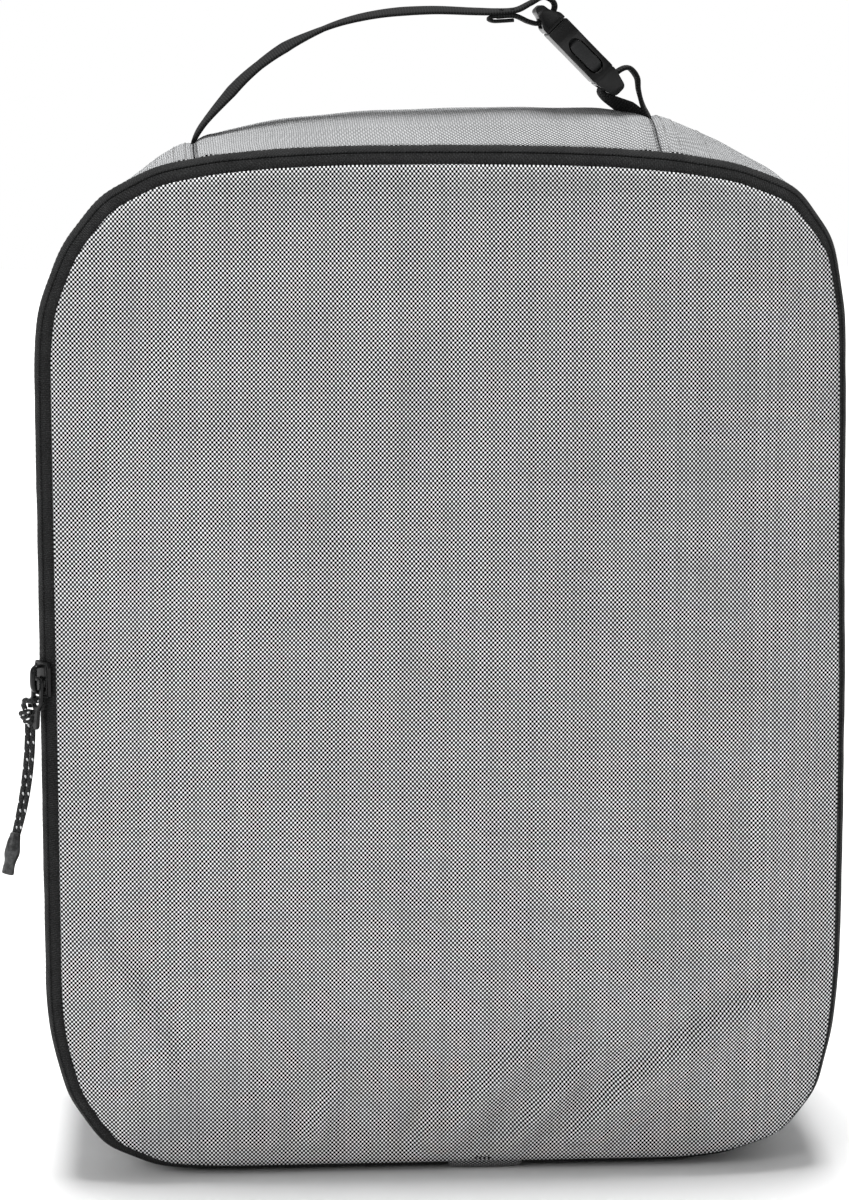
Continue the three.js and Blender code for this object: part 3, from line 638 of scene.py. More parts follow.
def make_gusset():
    y = spaced(GUSSET_Y[0], GUSSET_Y[1], 2.6)
    ends = {
        "gusset_bottom": (S_LOW_LEFT, S_LOW_RIGHT + PERIMETER),
        "gusset_right": (S_LOW_RIGHT, S_SEAM_RIGHT),
        "gusset_top": (S_SEAM_RIGHT, S_SEAM_LEFT),
        "gusset_left": (S_SEAM_LEFT, S_LOW_LEFT),
    }
    for node, (start, end) in ends.items():
        s = spaced(start + 0.15, end - 0.15, 1.7)
        piece = skin(node + "_cloth", gusset_shape(s, y), s, y, (OXFORD, COATING))
        thicken(face_out(piece, closed=False))
        keep(piece, "root", "oxford_fabric", node)


def rim_inset(rim, nx, nz):
    """Inset of a panel's edge; towards the lower right the lid rolls out over its tape."""
    return rim["inset"] - rim["roll"] * np.clip(0.75 * (nx - nz), 0, 1) + rear_pull(nx, nz, rim["y"])


def panel_grid(rim, count):
    """A square grid bent to the rounded outline: its points, and each one's share of the way out."""
    middles = [outline_where(p) for p in (
        (HALF_WIDTH - 12.9, 12.9), (HALF_WIDTH - 10, HEIGHT - 18),
        (-HALF_WIDTH + 14.1, HEIGHT - 22), (-HALF_WIDTH + 12.3, 12.3),
    )]
    t = np.linspace(-1, 1, count + 1)
    a, b = np.meshgrid(t, t, indexing="ij")
    share = np.maximum(np.abs(a), np.abs(b))
    safe = np.where(share > 0, share, 1)
    p, q = a / safe, b / safe

    def between(start, end, value):
        return start + (end - start) * (value + 1) / 2

    s = np.where(p >= 1, between(middles[0], middles[1], q), 0)
    s = np.where((q >= 1) & (p < 1), between(middles[1], middles[2], -p), s)
    s = np.where((p <= -1) & (q < 1), between(middles[2], middles[3], -q), s)
    s = np.where((q <= -1) & (p > -1) & (p < 1),
                 between(middles[3], middles[0] + PERIMETER, p), s)
    x, z, nx, nz = outline_at(s)
    inset = rim_inset(rim, nx, nz)
    flat_x = (x - nx * inset) * share
    flat_z = CENTRE_Z + (z - nz * inset - CENTRE_Z) * share
    return flat_x, flat_z, share


CREASE_GAIN = 3.6
# Soft creases on the lid: middle (x, z), direction in degrees, length, width and depth in mm
LID_CREASES = (
    (-4, 16, 58, 34, 3.6, 0.85), (12, 26, 52, 46, 4.2, 0.9), (34, 24, 48, 44, 4.0, 0.8),
    (60, 30, 44, 52, 4.6, 0.9), (-40, 18, 70, 26, 4.0, 0.6), (86, 44, 36, 50, 5.0, 0.9),
    (-96, 236, 78, 44, 5.0, 0.5), (-84, 262, 60, 36, 4.5, 0.45), (104, 120, 84, 60, 5.5, 0.5),
    (92, 292, -40, 40, 4.6, 0.45), (-100, 60, -62, 40, 4.6, 0.55),
)
BACK_CREASES = (
    (20, 60, 70, 70, 7.0, 0.7), (-50, 110, -60, 80, 8.0, 0.6), (70, 230, 50, 70, 7.0, 0.6),
    (-70, 270, 30, 50, 6.0, 0.5),
)


def creases_at(x, z, creases):
    """Ridge-and-valley folds, summed over the list."""
    depth = np.zeros_like(x)
    for cx, cz, angle, length, width, height in creases:
        turn = math.radians(angle)
        along = (x - cx) * math.cos(turn) + (z - cz) * math.sin(turn)
        aside = -(x - cx) * math.sin(turn) + (z - cz) * math.cos(turn)
        aside = aside + 0.012 * along ** 2 / max(width, 1)
        fade = np.exp(-((along / length) ** 2) * 1.6)
        profile = np.exp(-((aside / width) ** 2)) - 0.7 * np.exp(-(((aside - 1.7 * width) / width) ** 2))
        depth += CREASE_GAIN * height * fade * profile
    return depth


SWELL = {
    "quality": 4, "mass": 0.4, "tension_stiffness": 40, "compression_stiffness": 40, "shear_stiffness": 20,
    "bending_stiffness": 2.0, "use_pressure": True, "uniform_pressure_force": 0.6,
}
SWELL_FRAMES = 20
SWELL_MOST = 2.5


def swell(piece, share):
    """Cloth simulation of a panel sewn down round its rim and pushed out from inside."""
    mesh = piece.data
    before = np.empty(len(mesh.vertices) * 3)
    mesh.vertices.foreach_get("co", before)
    rim = piece.vertex_groups.new(name="rim")
    rim.add(np.flatnonzero(share.ravel() > 0.995).tolist(), 1.0, "REPLACE")
    cloth = piece.modifiers.new("swell", "CLOTH")
    for key, value in SWELL.items():
        setattr(cloth.settings, key, value)
    cloth.settings.vertex_group_mass = "rim"
    cloth.settings.effector_weights.gravity = 0.0
    cloth.collision_settings.use_collision = False
    scene = bpy.context.scene
    for number in range(1, SWELL_FRAMES + 1):
        scene.frame_set(number)
    graph = bpy.context.evaluated_depsgraph_get()
    after = np.empty_like(before)
    piece.evaluated_get(graph).data.vertices.foreach_get("co", after)
    piece.modifiers.clear()
    piece.vertex_groups.clear()
    scene.frame_set(1)
    move = (after - before).reshape(-1, 3)
    length = np.linalg.norm(move, axis=1, keepdims=True)
    move *= np.minimum(1.0, SWELL_MOST * MM / np.maximum(length, 1e-9))
    mesh.vertices.foreach_set("co", (before.reshape(-1, 3) + move).ravel())
    mesh.update()


def make_panel(name, rim, side, creases, seed, count):
    """The lid's face (side -1) or the back (side 1): a crowned, softly creased sheet."""
    x, z, share = panel_grid(rim, count)
    crown = rim["crown"] * (1 - share ** CROWN_POWER)
    flat = in_plane(x, z)
    inner = np.clip((1 - share) * 14, 0, 1)
    soft = 0.7 * lumps(flat, 60, seed) + 0.32 * lumps(flat, 24, seed + 1)
    gathers = 0.34 * np.exp(-(1 - share) * 16) * lumps(flat, 7, seed + 2)
    out = crown + inner * (soft + creases_at(x, z, creases)) + gathers * np.clip(inner * 4, 0, 1)
    # The last rows turn under the seam.
    out = out - 0.9 * np.clip((share - 0.985) / 0.015, 0, 1)
    points = np.stack([x, rim["y"] + side * out, z], axis=-1)
    count_u = points.shape[0]
    faces, uvs = [], []
    for i in range(count_u - 1):
        for j in range(count_u - 1):
            first, below = i * count_u + j, (i + 1) * count_u + j
            ring = [first, below, below + 1, first + 1]
            faces.append(tuple(ring))
            uvs += [(x.flat[k], z.flat[k]) for k in ring]
    piece = new_piece(name, points, faces, uvs, (OXFORD, COATING))
    face_out(piece, closed=False)
    swell(piece, share)
    return thicken(subdivide(piece, 1))


def make_panels():
    for name, node, body, rim, side, creases, seed in (
        ("lid_face", "front_panel", "lid", LID_RIM, -1, LID_CREASES, 5),
        ("back_face", "back_panel", "root", BACK_RIM, 1, BACK_CREASES, 11),
    ):
        piece = make_panel(name, rim, side, creases, seed, 84 if side < 0 else 60)
        keep(piece, body, "oxford_fabric", node)


# ==== zip band ====
BAND_LINE = np.array([
    (0.0, -38.6), (-0.05, -39.8), (0.0, -41.0), (0.15, -42.2), (0.5, -43.6), (1.05, -44.8),
    (1.9, -46.05), (3.0, -47.35), (4.3, -48.3), (5.4, -48.65), (6.6, -48.3),
])
BAND_MIDDLE = 6
TAPE_THICKNESS = 0.65
LIP = 0.18                # half of the fine line between the two tapes
EDGE_PITCH = 1.8


def line_normals(line):
    """Outward unit normals of an (inset, y) line that runs from the gusset to the lid."""
    step = np.gradient(line, axis=-2)
    step = step / np.linalg.norm(step, axis=-1, keepdims=True)
    return np.stack([step[..., 1], -step[..., 0]], axis=-1)


def finer(line, count):
    """The same line with `count` even points, rounded by a smooth curve."""
    smooth = read_off(np.linspace(0, 1, count), np.linspace(0, 1, len(line)), line)
    for _ in range(2):
        smooth[1:-1] = 0.25 * smooth[:-2] + 0.5 * smooth[1:-1] + 0.25 * smooth[2:]
    return smooth


def band_half(to_lid):
    """Outer line of one tape, ending in a lip that turns down into the slit."""
    inward = 1 if to_lid else -1
    half = finer(BAND_LINE[BAND_MIDDLE:] if to_lid else BAND_LINE[:BAND_MIDDLE + 1], 9)[::inward]
    start = half[0]
    lip = [start + CHAIN_E * inward * (LIP + x) - CHAIN_N * n
           for x, n in ((0.02, 0.95), (0.0, 0.55), (0.12, 0.2))]
    first = start + CHAIN_E * inward * (LIP + 0.45)
    return np.array(lip + [first] + list(half[1:]))


def strip(name, s, line, outer, under, material):
    """A flat closed strip along the outline, whose outer face follows the line."""
    closed = np.concatenate([outer, under[:, ::-1]], axis=1)
    lengths = run_along(line)
    across = np.concatenate([lengths, lengths[::-1] + 12, [0]])
    piece = skin(name, on_outline(s, closed), s, across, (material,), wrap=(False, True), caps=True)
    return face_out(piece)


def band_tape(name, to_lid):
    s = spaced(TAB_CENTRE + TAB_HALF - 3, PERIMETER + TAB_CENTRE - TAB_HALF + 3, EDGE_PITCH / 2)
    line = band_half(to_lid)
    sections = np.repeat(line[None], len(s), axis=0)
    # The slit wanders a little, and the sewn edge shows its threads as small bumps.
    x, z, _, _ = outline_at(s)
    at = in_plane(x, z)
    wander = 0.34 * lumps(at, 30, 21) + 0.14 * lumps(at, 11, 22)
    near_slit = np.clip(1 - np.arange(line.shape[0]) / 7, 0, 1)
    sections = sections + (wander[:, None] * near_slit[None, :])[..., None] * CHAIN_E
    normals = line_normals(sections if to_lid else sections[:, ::-1])
    normals = normals if to_lid else normals[:, ::-1]
    bump = 0.13 * (np.arange(len(s)) % 2)[:, None]
    near_edge = np.clip((np.arange(line.shape[0]) - line.shape[0] + 3) / 2, 0, 1)[None, :]
    waves = 0.12 * lumps(at, 9, 23)[:, None] * (1 - near_slit)[None, :]
    sections = sections + ((bump * near_edge) + waves)[..., None] * normals
    return strip(name, s, line, sections, sections - normals * TAPE_THICKNESS, ZIP_TAPE)


def chain_point(q, n):
    """(inset, y) at q across the chain and n out of it."""
    return np.array(CHAIN_MIDDLE) + CHAIN_E * q + CHAIN_N * n


COIL_PITCH = 1.5
# One turn of the coil: how far along the pitch, across the chain and out
COIL_TURN = ((0.0, 2.35, -2.25), (0.12, 0.5, -2.2), (0.25, -0.2, -1.95), (0.3, -0.25, -1.55),
             (0.38, 0.5, -1.3), (0.5, 2.2, -1.25), (0.75, 2.4, -1.7))


def coil_row(name, side, body, node):
    start = outline_where((HALF_WIDTH, CHAIN_END_Z))
    end = outline_where((-HALF_WIDTH, CHAIN_END_Z))
    turns = int((end - start) / COIL_PITCH)
    s, sections = [], []
    for turn in range(turns):
        for part, q, n in COIL_TURN:
            s.append(start + (turn + part + (0.5 if side > 0 else 0)) * COIL_PITCH)
            sections.append([chain_point(side * q, n)])
    path = on_outline(np.array(s), np.array(sections))[:, 0]
    piece = tube(name, path, 0.27, 5, (COIL,))
    return keep(piece, body, "zip_coil", node)


def path_frames(path):
    """Unit tangents and a steady sideways vector along a path."""
    tangents = np.gradient(path, axis=0)
    tangents /= np.linalg.norm(tangents, axis=1, keepdims=True)
    side = np.cross(tangents[0], (0.31, 0.87, 0.39))
    sides = []
    for tangent in tangents:
        side = side - tangent * np.dot(side, tangent)
        side = side / np.linalg.norm(side)
        sides.append(side)
    return tangents, np.array(sides)


def sweep(name, path, sides, section, materials, turn_length=None, scale=None):
    """A closed (across, out) section carried along a path, its first axis along `sides`."""
    tangents, _ = path_frames(path)
    sides = sides - tangents * np.sum(sides * tangents, axis=1, keepdims=True)
    sides /= np.linalg.norm(sides, axis=1, keepdims=True)
    outs = np.cross(tangents, sides)
    section = np.broadcast_to(section, (len(path),) + np.shape(section)[-2:])
    scale = np.ones(len(path)) if scale is None else np.asarray(scale)
    points = (path[:, None]
              + sides[:, None] * section[..., :1] * scale[:, None, None]
              + outs[:, None] * section[..., 1:] * scale[:, None, None])
    along = run_along(path)
    ring = np.vstack([section[0], section[0][:1]])
    across = run_along(ring)
    if turn_length is not None:
        across = across / across[-1] * turn_length
    piece = skin(name, points, along, across, materials, wrap=(False, True), caps=True)
    return face_out(piece)


def circle(radius, sides):
    angles = np.linspace(0, 2 * np.pi, sides, endpoint=False)
    return np.stack([np.cos(angles), np.sin(angles)], axis=-1) * radius


def tube(name, path, radius, sides, materials, turn_length=None, scale=None):
    path = np.asarray(path, float)
    _, steady = path_frames(path)
    return sweep(name, path, steady, circle(radius, sides), materials, turn_length, scale)


def oval(half_width, half_height, power, sides):
    """A flattened oval section, squarer as its power rises."""
    angles = np.linspace(0, 2 * np.pi, sides, endpoint=False)
    c, s = np.cos(angles), np.sin(angles)
    return np.stack([np.sign(c) * np.abs(c) ** (2 / power) * half_width,
                     np.sign(s) * np.abs(s) ** (2 / power) * half_height], axis=-1)


def curve_through(points, spacing):
    """A smooth path through the points (Catmull-Rom), with even spacing."""
    points = np.asarray(points, float)
    ends = np.vstack([2 * points[0] - points[1], points, 2 * points[-1] - points[-2]])
    fine = []
    for k in range(1, len(ends) - 2):
        p0, p1, p2, p3 = ends[k - 1:k + 3]
        for t in np.linspace(0, 1, 24, endpoint=False):
            fine.append(0.5 * (2 * p1 + (p2 - p0) * t + (2 * p0 - 5 * p1 + 4 * p2 - p3) * t ** 2
                               + (3 * p1 - p0 - 3 * p2 + p3) * t ** 3))
    fine = np.vstack([fine, points[-1:]])
    gone = run_along(fine)
    even = spaced(0, gone[-1], spacing)
    return read_off(even, gone, fine)


def stitches(name, path, sideways, length, gap, radius, material, body, slot):
    """A row of short threads along a path, as one mesh; each lies on the path's own line."""
    gone = run_along(path)
    points, faces, uvs = [], [], []
    # Each ring's place along the stitch, thickness and lift off the cloth
    rings = ((0.0, 0.25, -0.35), (0.15, 0.8, 0.0), (0.5, 1.0, 0.25), (0.85, 0.8, 0.0), (1.0, 0.25, -0.35))
    sides = 6
    spin = np.linspace(0, 2 * np.pi, sides, endpoint=False)
    for start in np.arange(0, gone[-1] - length, length + gap):
        places = np.array([start + length * t for t, _, _ in rings])
        ends, outs = read_off(places, gone, path), read_off(places, gone, sideways)
        tangent = (ends[-1] - ends[0]) / max(np.linalg.norm(ends[-1] - ends[0]), 1e-9)
        first = len(points)
        for centre, out, (_, thick, lift) in zip(ends, outs, rings):
            across = np.cross(tangent, out)
            for angle in spin:
                points.append(centre + radius * (out * (lift + thick * math.sin(angle))
                                                 + across * thick * math.cos(angle)))
        for i in range(len(rings) - 1):
            for j in range(sides):
                a, b = first + i * sides + j, first + i * sides + (j + 1) % sides
                faces.append((a, b, b + sides, a + sides))
                uvs += [(j * 0.3, i * 0.4), (j * 0.3 + 0.3, i * 0.4),
                        (j * 0.3 + 0.3, i * 0.4 + 0.4), (j * 0.3, i * 0.4 + 0.4)]
        for ring in (range(sides - 1, -1, -1), range((len(rings) - 1) * sides, len(rings) * sides)):
            faces.append(tuple(first + j for j in ring))
            uvs += [(0, 0)] * sides
    piece = new_piece(name, points, faces, uvs, (material,))
    face_out(piece)
    return keep(piece, body, slot)


def make_zip():
    keep(band_tape("zip_tape_gusset_weave", False), "root", "zip_tape", "zip_tape_gusset")
    keep(band_tape("zip_tape_lid_weave", True), "lid", "zip_tape", "zip_tape_lid")
    coil_row("zip_teeth_gusset", -1, "root", "zip_coil_gusset")
    coil_row("zip_teeth_lid", 1, "lid", "zip_coil_lid")


def make_end_tab():
    """Fabric patch folded over the zip's ends at the base."""
    line = finer(BAND_LINE, 17)
    normals = line_normals(line)
    s = spaced(TAB_CENTRE - TAB_HALF, TAB_CENTRE + TAB_HALF, 1.1)
    t = (s - TAB_CENTRE) / TAB_HALF
    lift = 0.62 * np.clip((1 - np.abs(t)) * 9, 0, 1) ** 0.5
    bulge = 0.25 * np.cos(np.pi / 2 * t)
    outer = line[None] + normals[None] * (lift + bulge)[:, None, None]
    under = line[None] - normals[None] * 0.1 + 0 * outer
    # Its darker oxford is painted shade, where the base shades the tab.
    piece = strip("zip_end_patch", s, line, outer, under, PATCH_IN_PAINTED_SHADE)
    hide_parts("zip_end_tab")
    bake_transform(piece)


# ==== bindings ====
def round_loop(name, section, body, node, seed=31):
    """A closed loop of tape round the outline, with a slightly uneven hand-fed line."""
    s = np.linspace(0, PERIMETER, int(PERIMETER / 2.4), endpoint=False)
    x, z, _, _ = outline_at(s)
    at = in_plane(x, z)
    uneven = 0.18 * lumps(at, 22, seed)
    sections = section[None] + np.stack([0 * uneven, uneven], axis=-1)[:, None]
    ring = np.vstack([section, section[:1]])
    across = run_along(ring)
    piece = skin(name, on_outline(s, sections), np.append(s, PERIMETER), across,
                 (BINDING,), wrap=(True, True))
    return keep(face_out(piece), body, "binding_tape", node)


def folded(inset, y, thickness, width):
    """Section of a tape folded over a seam edge: a flattened oval with a raised middle."""
    shape = oval(width / 2, thickness / 2, 4.0, 14)
    return np.stack([inset + shape[:, 1], y + shape[:, 0]], axis=-1)


def make_bindings():
    round_loop("front_seam_tape", folded(2.4, -33.5, 1.0, 9), "root", "front_seam_binding")
    round_loop("back_seam_tape", folded(2.4, 42.5, 1.0, 9), "root", "back_seam_binding", seed=32)
    flat = oval(3.0, 0.4, 4.0, 14)
    lid = np.stack([11.5 + flat[:, 0], -47.5 + flat[:, 1]], axis=-1)
    round_loop("lid_seam_tape", lid, "lid", "lid_seam_binding", seed=33)
    bead = oval(1.75, 1.65, 2.4, 14)
    piping = np.stack([1.5 + bead[:, 0], 50.3 + bead[:, 1]], axis=-1)
    round_loop("back_piping", piping, "root", "back_edge_binding", seed=34)
    s = np.linspace(0, PERIMETER, 900)
    path = on_outline(s, np.array([[-0.33, 50.9]]))[:, 0]
    _, _, nx, nz = outline_at(s)
    stitches("piping_stitches", path, in_plane(nx, nz), 2.6, 1.0, 0.2, DARK_THREAD, "root", "binding_tape")


def make_seam_stitches():
    """Rows of stitching across the gusset beside the two seams that hold the handle."""
    y = spaced(GUSSET_Y[0] + 1.2, GUSSET_Y[1] - 1.2, 1.0)
    rows = (
        ("right_seam_row_a", S_SEAM_RIGHT - 2.6, GREY_THREAD),
        ("right_seam_row_b", S_SEAM_RIGHT - 6.4, GREY_THREAD),
        ("right_seam_row_c", S_SEAM_RIGHT - 15.6, GREY_THREAD),
        ("right_seam_row_d", S_SEAM_RIGHT + 1.0, DARK_THREAD),
        ("left_seam_row_a", S_SEAM_LEFT + 2.6, GREY_THREAD),
        ("left_seam_row_b", S_SEAM_LEFT + 6.4, GREY_THREAD),
        ("left_seam_row_c", S_SEAM_LEFT - 1.0, DARK_THREAD),
    )
    for name, s, thread in rows:
        path = gusset_shape(np.array([s]), y)[0]
        _, _, nx, nz = outline_at(np.array([s]))
        outs = np.tile([nx[0], 0.0, nz[0]], (len(path), 1))
        stitches(name, path, outs, 2.0, 0.9, 0.2, thread, "root", "oxford_fabric")


# ==== hard parts: prisms, cuts and rounded edges ====
def placed(points, origin, axes):
    """Points in a part's own frame, moved to the case's frame, all in mm."""
    return np.asarray(origin) + np.asarray(points, float) @ np.asarray(axes)


def prism(name, outline, low, high, order, origin, axes, material):
    """An outline extruded from low to high; order says which own axes its three numbers are."""
    count = len(outline)
    raw = [(a, b, c) for c in (low, high) for a, b in outline]
    points = np.zeros((2 * count, 3))
    points[:, list(order)] = raw
    faces = [tuple(range(count))[::-1], tuple(range(count, 2 * count))]
    faces += [(j, (j + 1) % count, count + (j + 1) % count, count + j) for j in range(count)]
    uvs = [(0.0, 0.0)] * sum(len(face) for face in faces)
    piece = new_piece(name, placed(points, origin, axes), faces, uvs, (material,))
    return face_out(piece)


def rounded(outline, radius, steps=4):
    """The outline with each of its corners rounded off."""
    outline = [np.asarray(p, float) for p in outline]
    result = []
    for i, corner in enumerate(outline):
        before, after = outline[i - 1], outline[(i + 1) % len(outline)]
        r = radius[i] if hasattr(radius, "__len__") else radius
        r = min(r, 0.49 * np.linalg.norm(before - corner), 0.49 * np.linalg.norm(after - corner))
        if r < 0.05:
            result.append(tuple(corner))
            continue
        start = corner + (before - corner) / np.linalg.norm(before - corner) * r
        end = corner + (after - corner) / np.linalg.norm(after - corner) * r
        for t in np.linspace(0, 1, steps + 1):
            result.append(tuple((1 - t) ** 2 * start + 2 * t * (1 - t) * corner + t ** 2 * end))
    return result


def carve(piece, operation, tool):
    """Boolean of the piece with a tool, which is used up."""
    cut = piece.modifiers.new("carve", "BOOLEAN")
    cut.operation = operation
    cut.solver = "EXACT"
    cut.object = tool
    apply_modifiers(piece)
    bpy.data.objects.remove(tool, do_unlink=True)
    return piece


def bevel_edges(piece, width, segments, angle):
    bevel = piece.modifiers.new("bevel", "BEVEL")
    bevel.width = width * MM
    bevel.segments = segments
    bevel.limit_method = "ANGLE"
    bevel.angle_limit = math.radians(angle)


def soften(piece, width, segments=3):
    """Rounds the edges of a hard part and shades it smoothly."""
    bevel_edges(piece, width, segments, 32)
    apply_modifiers(piece)
    smooth_shading(piece.data, 42)
    return piece


def soften_node(node, width, material):
    """Rounds a CAD node's edges where it stands and gives it its finish."""
    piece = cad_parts[node]
    weld = piece.modifiers.new("weld", "WELD")
    weld.merge_threshold = 0.002 * MM
    flat = piece.modifiers.new("flat", "DECIMATE")
    flat.decimate_type = "DISSOLVE"
    flat.angle_limit = math.radians(1.0)
    bevel_edges(piece, width, 3, 28)
    piece.data.materials.clear()
    piece.data.materials.append(material)


def in_buckle(name, outline, low, high, order, material=PLASTIC):
    return prism(name, outline, low, high, order, BUCKLE_ORIGIN, BUCKLE_AXES, material)


SIDE, PLAN = (0, 2, 1), (0, 1, 2)      # outlines in (along, out) and in (along, across)


def make_socket():
    profile = rounded([(0, -2.3), (7, -4), (29.5, -4), (29.5, 4), (7, 4), (0, 2.3)],
                      [1.6, 2.5, 0.8, 0.8, 2.5, 1.6], 5)
    piece = in_buckle("buckle_socket_shell", profile, -8.5, 8.5, SIDE)
    plan = rounded([
        (-0.2, -7.2), (-0.2, 7.2), (8.2, 8.5), (11.5, 7.7), (20.5, 7.7), (23.5, 8.5), (29.7, 8.5),
        (29.7, -8.5), (23.5, -8.5), (20.5, -7.7), (11.5, -7.7), (8.2, -8.5),
    ], [2.4, 2.4, 2, 2, 2, 2, 0.8, 0.8, 2, 2, 2, 2], 4)
    carve(piece, "INTERSECT", in_buckle("tool", plan, -6, 6, PLAN))
    slot = rounded([(3, -5.5), (6.4, -5.5), (6.4, 5.5), (3, 5.5)], 0.7, 3)
    carve(piece, "DIFFERENCE", in_buckle("tool", slot, -9, 9, PLAN))
    cavity = [(9, -6.8), (31, -6.8), (31, 6.8), (9, 6.8)]
    carve(piece, "DIFFERENCE", in_buckle("tool", cavity, -2.3, 2.3, PLAN))
    window = rounded([(9.2, -1.0), (11.2, -2.55), (21.0, -2.55), (23.4, -1.0),
                      (23.4, 1.0), (21.0, 2.55), (11.2, 2.55), (9.2, 1.0)], 1.3, 5)
    carve(piece, "DIFFERENCE", in_buckle("tool", window, -17, 17, SIDE))
    # A shallow step across both faces, where the shell meets its webbing end
    for side in (-1, 1):
        step = [(7.4, side * 3.72), (8.1, side * 3.72), (8.1, side * 5), (7.4, side * 5)]
        carve(piece, "DIFFERENCE", in_buckle("tool", step, -10, 10, SIDE))
    soften(piece, 0.32)
    keep(piece, "handle", "buckle_plastic", "buckle_socket")


def make_plug():
    profile = rounded([(29.8, -3.9), (31.8, -3.9), (35.0, -1.9), (37.8, -1.6), (37.8, 1.6),
                       (35.0, 1.9), (31.8, 3.9), (29.8, 3.9)],
                      [0.3, 0.8, 0.8, 1.2, 1.2, 0.8, 0.8, 0.3], 4)
    piece = in_buckle("buckle_plug_head", profile, -8.4, 8.4, SIDE)
    plan = rounded([(29.0, -8.4), (29.0, 8.4), (36.0, 8.4), (37.9, 7.0), (37.9, -7.0), (36.0, -8.4)],
                   [0.2, 0.2, 1.4, 1.4, 1.4, 1.4], 4)
    carve(piece, "INTERSECT", in_buckle("tool", plan, -6, 6, PLAN))
    slot = rounded([(31.9, -5.6), (34.8, -5.6), (34.8, 5.6), (31.9, 5.6)], 0.6, 3)
    carve(piece, "DIFFERENCE", in_buckle("tool", slot, -9, 9, PLAN))
    # A framed recess in each side of the head
    recess = rounded([(30.6, -2.7), (33.0, -2.4), (35.6, -0.9), (35.6, 0.9), (33.0, 2.4), (30.6, 2.7)],
                     0.5, 3)
    for low, high in ((7.5, 10), (-10, -7.5)):
        carve(piece, "DIFFERENCE", in_buckle("tool", recess, low, high, SIDE))
    tongue = rounded([(9.5, -1.4), (31, -1.4), (31, 1.4), (9.5, 1.4)], [0.6, 0.1, 0.1, 0.6], 4)
    carve(piece, "UNION", in_buckle("tool", tongue, -2.15, 2.15, PLAN))
    soften(piece, 0.25)
    keep(piece, "plug", "buckle_plastic", "buckle_plug")


def make_arms():
    for side, body, node in ((1, "arm_front", "buckle_arm_front"), (-1, "arm_rear", "buckle_arm_rear")):
        arm = [(29.35, 4.2), (29.35, 6.3), (22.6, 6.4), (21.6, 7.6), (18.6, 8.2), (15.0, 8.35),
               (11.4, 7.9), (9.8, 6.4), (9.6, 4.8), (14, 4.6), (20, 4.7)]
        outline = rounded([(u, v * side) for u, v in arm],
                          [0.1, 0.1, 0.6, 0.8, 1, 1.4, 1.4, 1, 0.7, 1.5, 1.5], 4)
        piece = in_buckle(node + "_moulding", outline, -2.1, 2.1, PLAN, THUMB)
        face = rounded([(9.3, -0.7), (11.4, -2.1), (20.6, -2.1), (22.8, -1.1), (30, -1.1),
                        (30, 1.1), (22.8, 1.1), (20.6, 2.1), (11.4, 2.1), (9.3, 0.7)], 1.2, 4)
        carve(piece, "INTERSECT", in_buckle("tool", face, -10, 10, SIDE))
        soften(piece, 0.55, 4)
        keep(piece, body, "buckle_plastic", node)


# ==== slider and puller ====
def in_slider(points):
    return placed(points, SLIDER_ORIGIN, SLIDER_AXES)


def make_slider():
    soften_node("slider_body", 0.32, ENAMEL)
    soften_node("puller_tab", 0.42, ENAMEL)
    soften_node("zip_stop_left", 0.2, ENAMEL)
    soften_node("zip_stop_right", 0.2, ENAMEL)
    arch = curve_through([(0, t, n) for t, n in (
        (4.05, 1.1), (4.1, 2.3), (3.9, 3.4), (2.9, 4.25), (1.0, 4.5), (-1.4, 4.5),
        (-3.0, 4.2), (-3.95, 3.2), (-4.1, 2.2), (-4.0, 1.1),
    )], 0.35)
    width = 1 + 0.28 * np.cos(np.linspace(-1, 1, len(arch)) * np.pi / 2)
    path = in_slider(arch)
    sides = np.tile(SLIDER_AXES[0], (len(path), 1))
    piece = sweep("slider_arch", path, sides, oval(0.92, 0.52, 2.6, 16), (ENAMEL,), scale=width)
    keep(piece, "slider", "black_metal", "slider_crown")
    # Raised rim of the slider's top plate
    rim = curve_through([(e, t, 1.42) for e, t in (
        (-2.9, 4.4), (-3.4, 3.2), (-3.4, -3.6), (-2.6, -4.6), (0, -4.8), (2.6, -4.6),
        (3.4, -3.6), (3.4, 3.2), (2.9, 4.4),
    )], 0.4)
    keep(tube("slider_rim", in_slider(rim), 0.28, 8, (ENAMEL,)), "slider", "black_metal")


# ==== cord pull ====
CORD_R = 0.86
CORD_TURN = 6.3
KNOT = np.array([-4.1, -12.6, 3.4])
SHRINK_TOP = np.array([-4.1, -49.4, 9.5])
SHRINK_AXIS = np.array([0.0, -1.0, 0.24]) / math.hypot(1.0, 0.24)
LOOP_POINTS = (
    (-4.6, -10.0, 4.9), (-4.1, -8.2, 5.7), (-2.9, -6.9, 5.6), (-1.1, -6.9, 4.9),
    (-0.35, -6.9, 3.1), (-1.1, -6.9, 1.5), (-2.45, -6.9, 1.2), (-4.3, -6.9, 1.5),
    (-5.2, -7.8, 2.4), (-5.2, -9.9, 2.6),
)


def strand_route(side):
    """One hanging strand, from inside the knot to inside the sleeve, in the slider's frame."""
    points = []
    for t in np.linspace(0, 1, 16):
        spread = 0.82 + 0.08 * math.sin(math.pi * t) - 0.3 * t ** 6
        point = KNOT + (SHRINK_TOP + SHRINK_AXIS * 1.5 - KNOT) * t
        point[2] = KNOT[2] + (SHRINK_TOP[2] - KNOT[2]) * t ** 2.1
        # The pair turns a little about its own line as it hangs.
        turn = 0.25 * math.sin(2.2 * t) - 1.0
        point = point + side * spread * np.array([math.cos(turn), 0, math.sin(turn)])
        points.append(point)
    return np.array(points)


